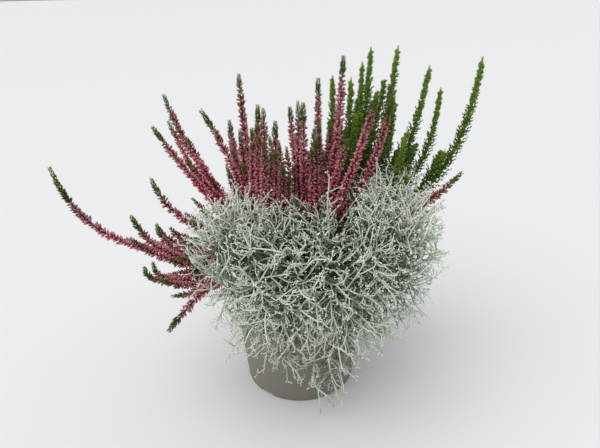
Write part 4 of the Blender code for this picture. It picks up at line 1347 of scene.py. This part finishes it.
def make_felt_finish():
    """Grey-white felt, cream on the buds at the ends. Deep inside the bush and towards the back it is painted
    darker: painted shade, and deep inside also older, barer wood.
    """
    material, tree, shader = new_material("silver_felt", roughness=0.9, specular=0.1)
    shader.inputs["Sheen Weight"].default_value = 0.25
    shader.inputs["Sheen Roughness"].default_value = 0.6
    place, chance, _ = read_growth(tree)
    # Painted shade: the tone runs from dark inside and behind to pale in front and on top.
    stops = ((0.35, FELT_OLD_WOOD_AND_PAINTED_SHADE), (0.66, FELT_SHADE), (0.88, FELT_PALE), (1.0, FELT_CREAM))
    along = ramp(tree, place, stops)
    duller = mixed(tree, span(tree, chance, 0.0, 0.5, 0.35, 0.0), along, FELT_SHADE)
    mottled_surface(tree, shader, duller, strength=0.5, distance=0.0003,
                    Patch=90.0, Grain=2400.0, Depth=0.12)
    return material


spur = pod(((0.70, 0.50, 0.50, 0.0),), sides=3)
knob = pod(((0.62, 0.50, 0.50, 0.0),), sides=4)
felt_finish = make_felt_finish()
silver_draw = np.random.default_rng(SILVER_SEED)
bush_shapes = []
for index, (_, centre) in enumerate(SILVER_BRANCHES, 1):
    low, high = (np.array(corner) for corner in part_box(f"silver_branch_{index}"))
    low[2] = EDGE_HEIGHTS[0] - HEM_SLACK
    high[2] = max(TOP_EDGE)
    bush_shapes.append((np.array(centre), low - BOX_MARGIN, high + BOX_MARGIN))
bush, bush_owners, bush_tones_with_painted_shade = bush_points(silver_draw, bush_shapes)
for index, (foot, centre) in enumerate(SILVER_BRANCHES, 1):
    own = bush_owners == index - 1
    growth = Growth()
    trunk = branch_stem(foot, centre)
    stem(growth, trunk, 0.0, trunk.length, *BRANCH_RADIUS, 0)
    own_points = np.vstack([centre, bush[own]])
    own_tones_with_painted_shade = np.append(0.0, bush_tones_with_painted_shade[own])
    felt_twigs(growth, silver_draw, own_points, own_tones_with_painted_shade, np.array(centre))
    growth.piece(f"silver_twigs_{index}", [felt_finish], [f"silver_branch_{index}"])

# Floor, light and camera. A plain pale floor in soft studio light, seen from the photograph's
# angle: the camera stands in front of the pot and looks down on it.
FLOOR_SIZE = 80.0
FLOOR_PALE = (0.86, 0.87, 0.885)
FLOOR_SHADE = (0.83, 0.84, 0.855)
KEY_COLOUR = (1.0, 0.985, 0.965)
KEY_POWER = 1.75
FILL_COLOUR = (0.97, 0.98, 1.0)
FILL_POWER = 0.60
STUDIO_COLOUR = (0.91, 0.92, 0.93, 1.0)
STUDIO_POWER = 0.42
SENSOR_WIDTH = 36.0
FOCAL_SHARE = 510.0 / 600.0
LOOK_DOWN = 24.6
ROLL = -1.16
EYE = (0.002, -0.3900, 0.3262)


def make_floor():
    """A wide matt board."""
    bm = bmesh.new()
    bmesh.ops.create_grid(bm, x_segments=1, y_segments=1, size=0.5 * FLOOR_SIZE)
    floor = object_of(bm, "pale_floor")
    material, tree, shader = new_material("pale_board", roughness=0.7, specular=0.3)
    place = tree.nodes.new("ShaderNodeTexCoord").outputs["Object"]
    grain = add_node(tree, "ShaderNodeTexNoise", Vector=place, Scale=900.0, Detail=2.0)
    colour = mixed(tree, span(tree, grain.outputs["Fac"], 0.3, 0.7, 0.0, 1.0), FLOOR_PALE, FLOOR_SHADE)
    finish_surface(tree, shader, colour, grain.outputs["Fac"], strength=0.05, distance=0.0002)
    floor.data.materials.append(material)


def soft_sun(name, direction, spread, power, colour):
    """A wide soft lamp, far enough off to fall evenly."""
    light = bpy.data.lights.new(name, "SUN")
    light.angle = math.radians(spread)
    light.energy = power
    light.color = colour
    made = bpy.data.objects.new(name, light)
    bpy.context.scene.collection.objects.link(made)
    made.rotation_euler = Vector(direction).to_track_quat("-Z", "Y").to_euler()


make_floor()
soft_sun("key_light", (0.50, 0.45, -1.0), 70.0, KEY_POWER, KEY_COLOUR)
soft_sun("fill_light", (-0.35, -0.25, -1.0), 90.0, FILL_POWER, FILL_COLOUR)
bpy.context.scene.view_settings.view_transform = "Standard"
world = bpy.data.worlds.new("studio")
world.use_nodes = True
background = world.node_tree.nodes["Background"]
background.inputs["Color"].default_value = STUDIO_COLOUR
background.inputs["Strength"].default_value = STUDIO_POWER
bpy.context.scene.world = world
camera_data = bpy.data.cameras.new("camera")
camera_data.sensor_width = SENSOR_WIDTH
camera_data.lens = SENSOR_WIDTH * FOCAL_SHARE
camera = bpy.data.objects.new("camera", camera_data)
bpy.context.scene.collection.objects.link(camera)
camera.location = EYE
tilt = Matrix.Rotation(0.5 * math.pi - math.radians(LOOK_DOWN), 3, "X")
camera.rotation_euler = (tilt @ Matrix.Rotation(math.radians(ROLL), 3, "Z")).to_euler()
bpy.context.scene.camera = camera
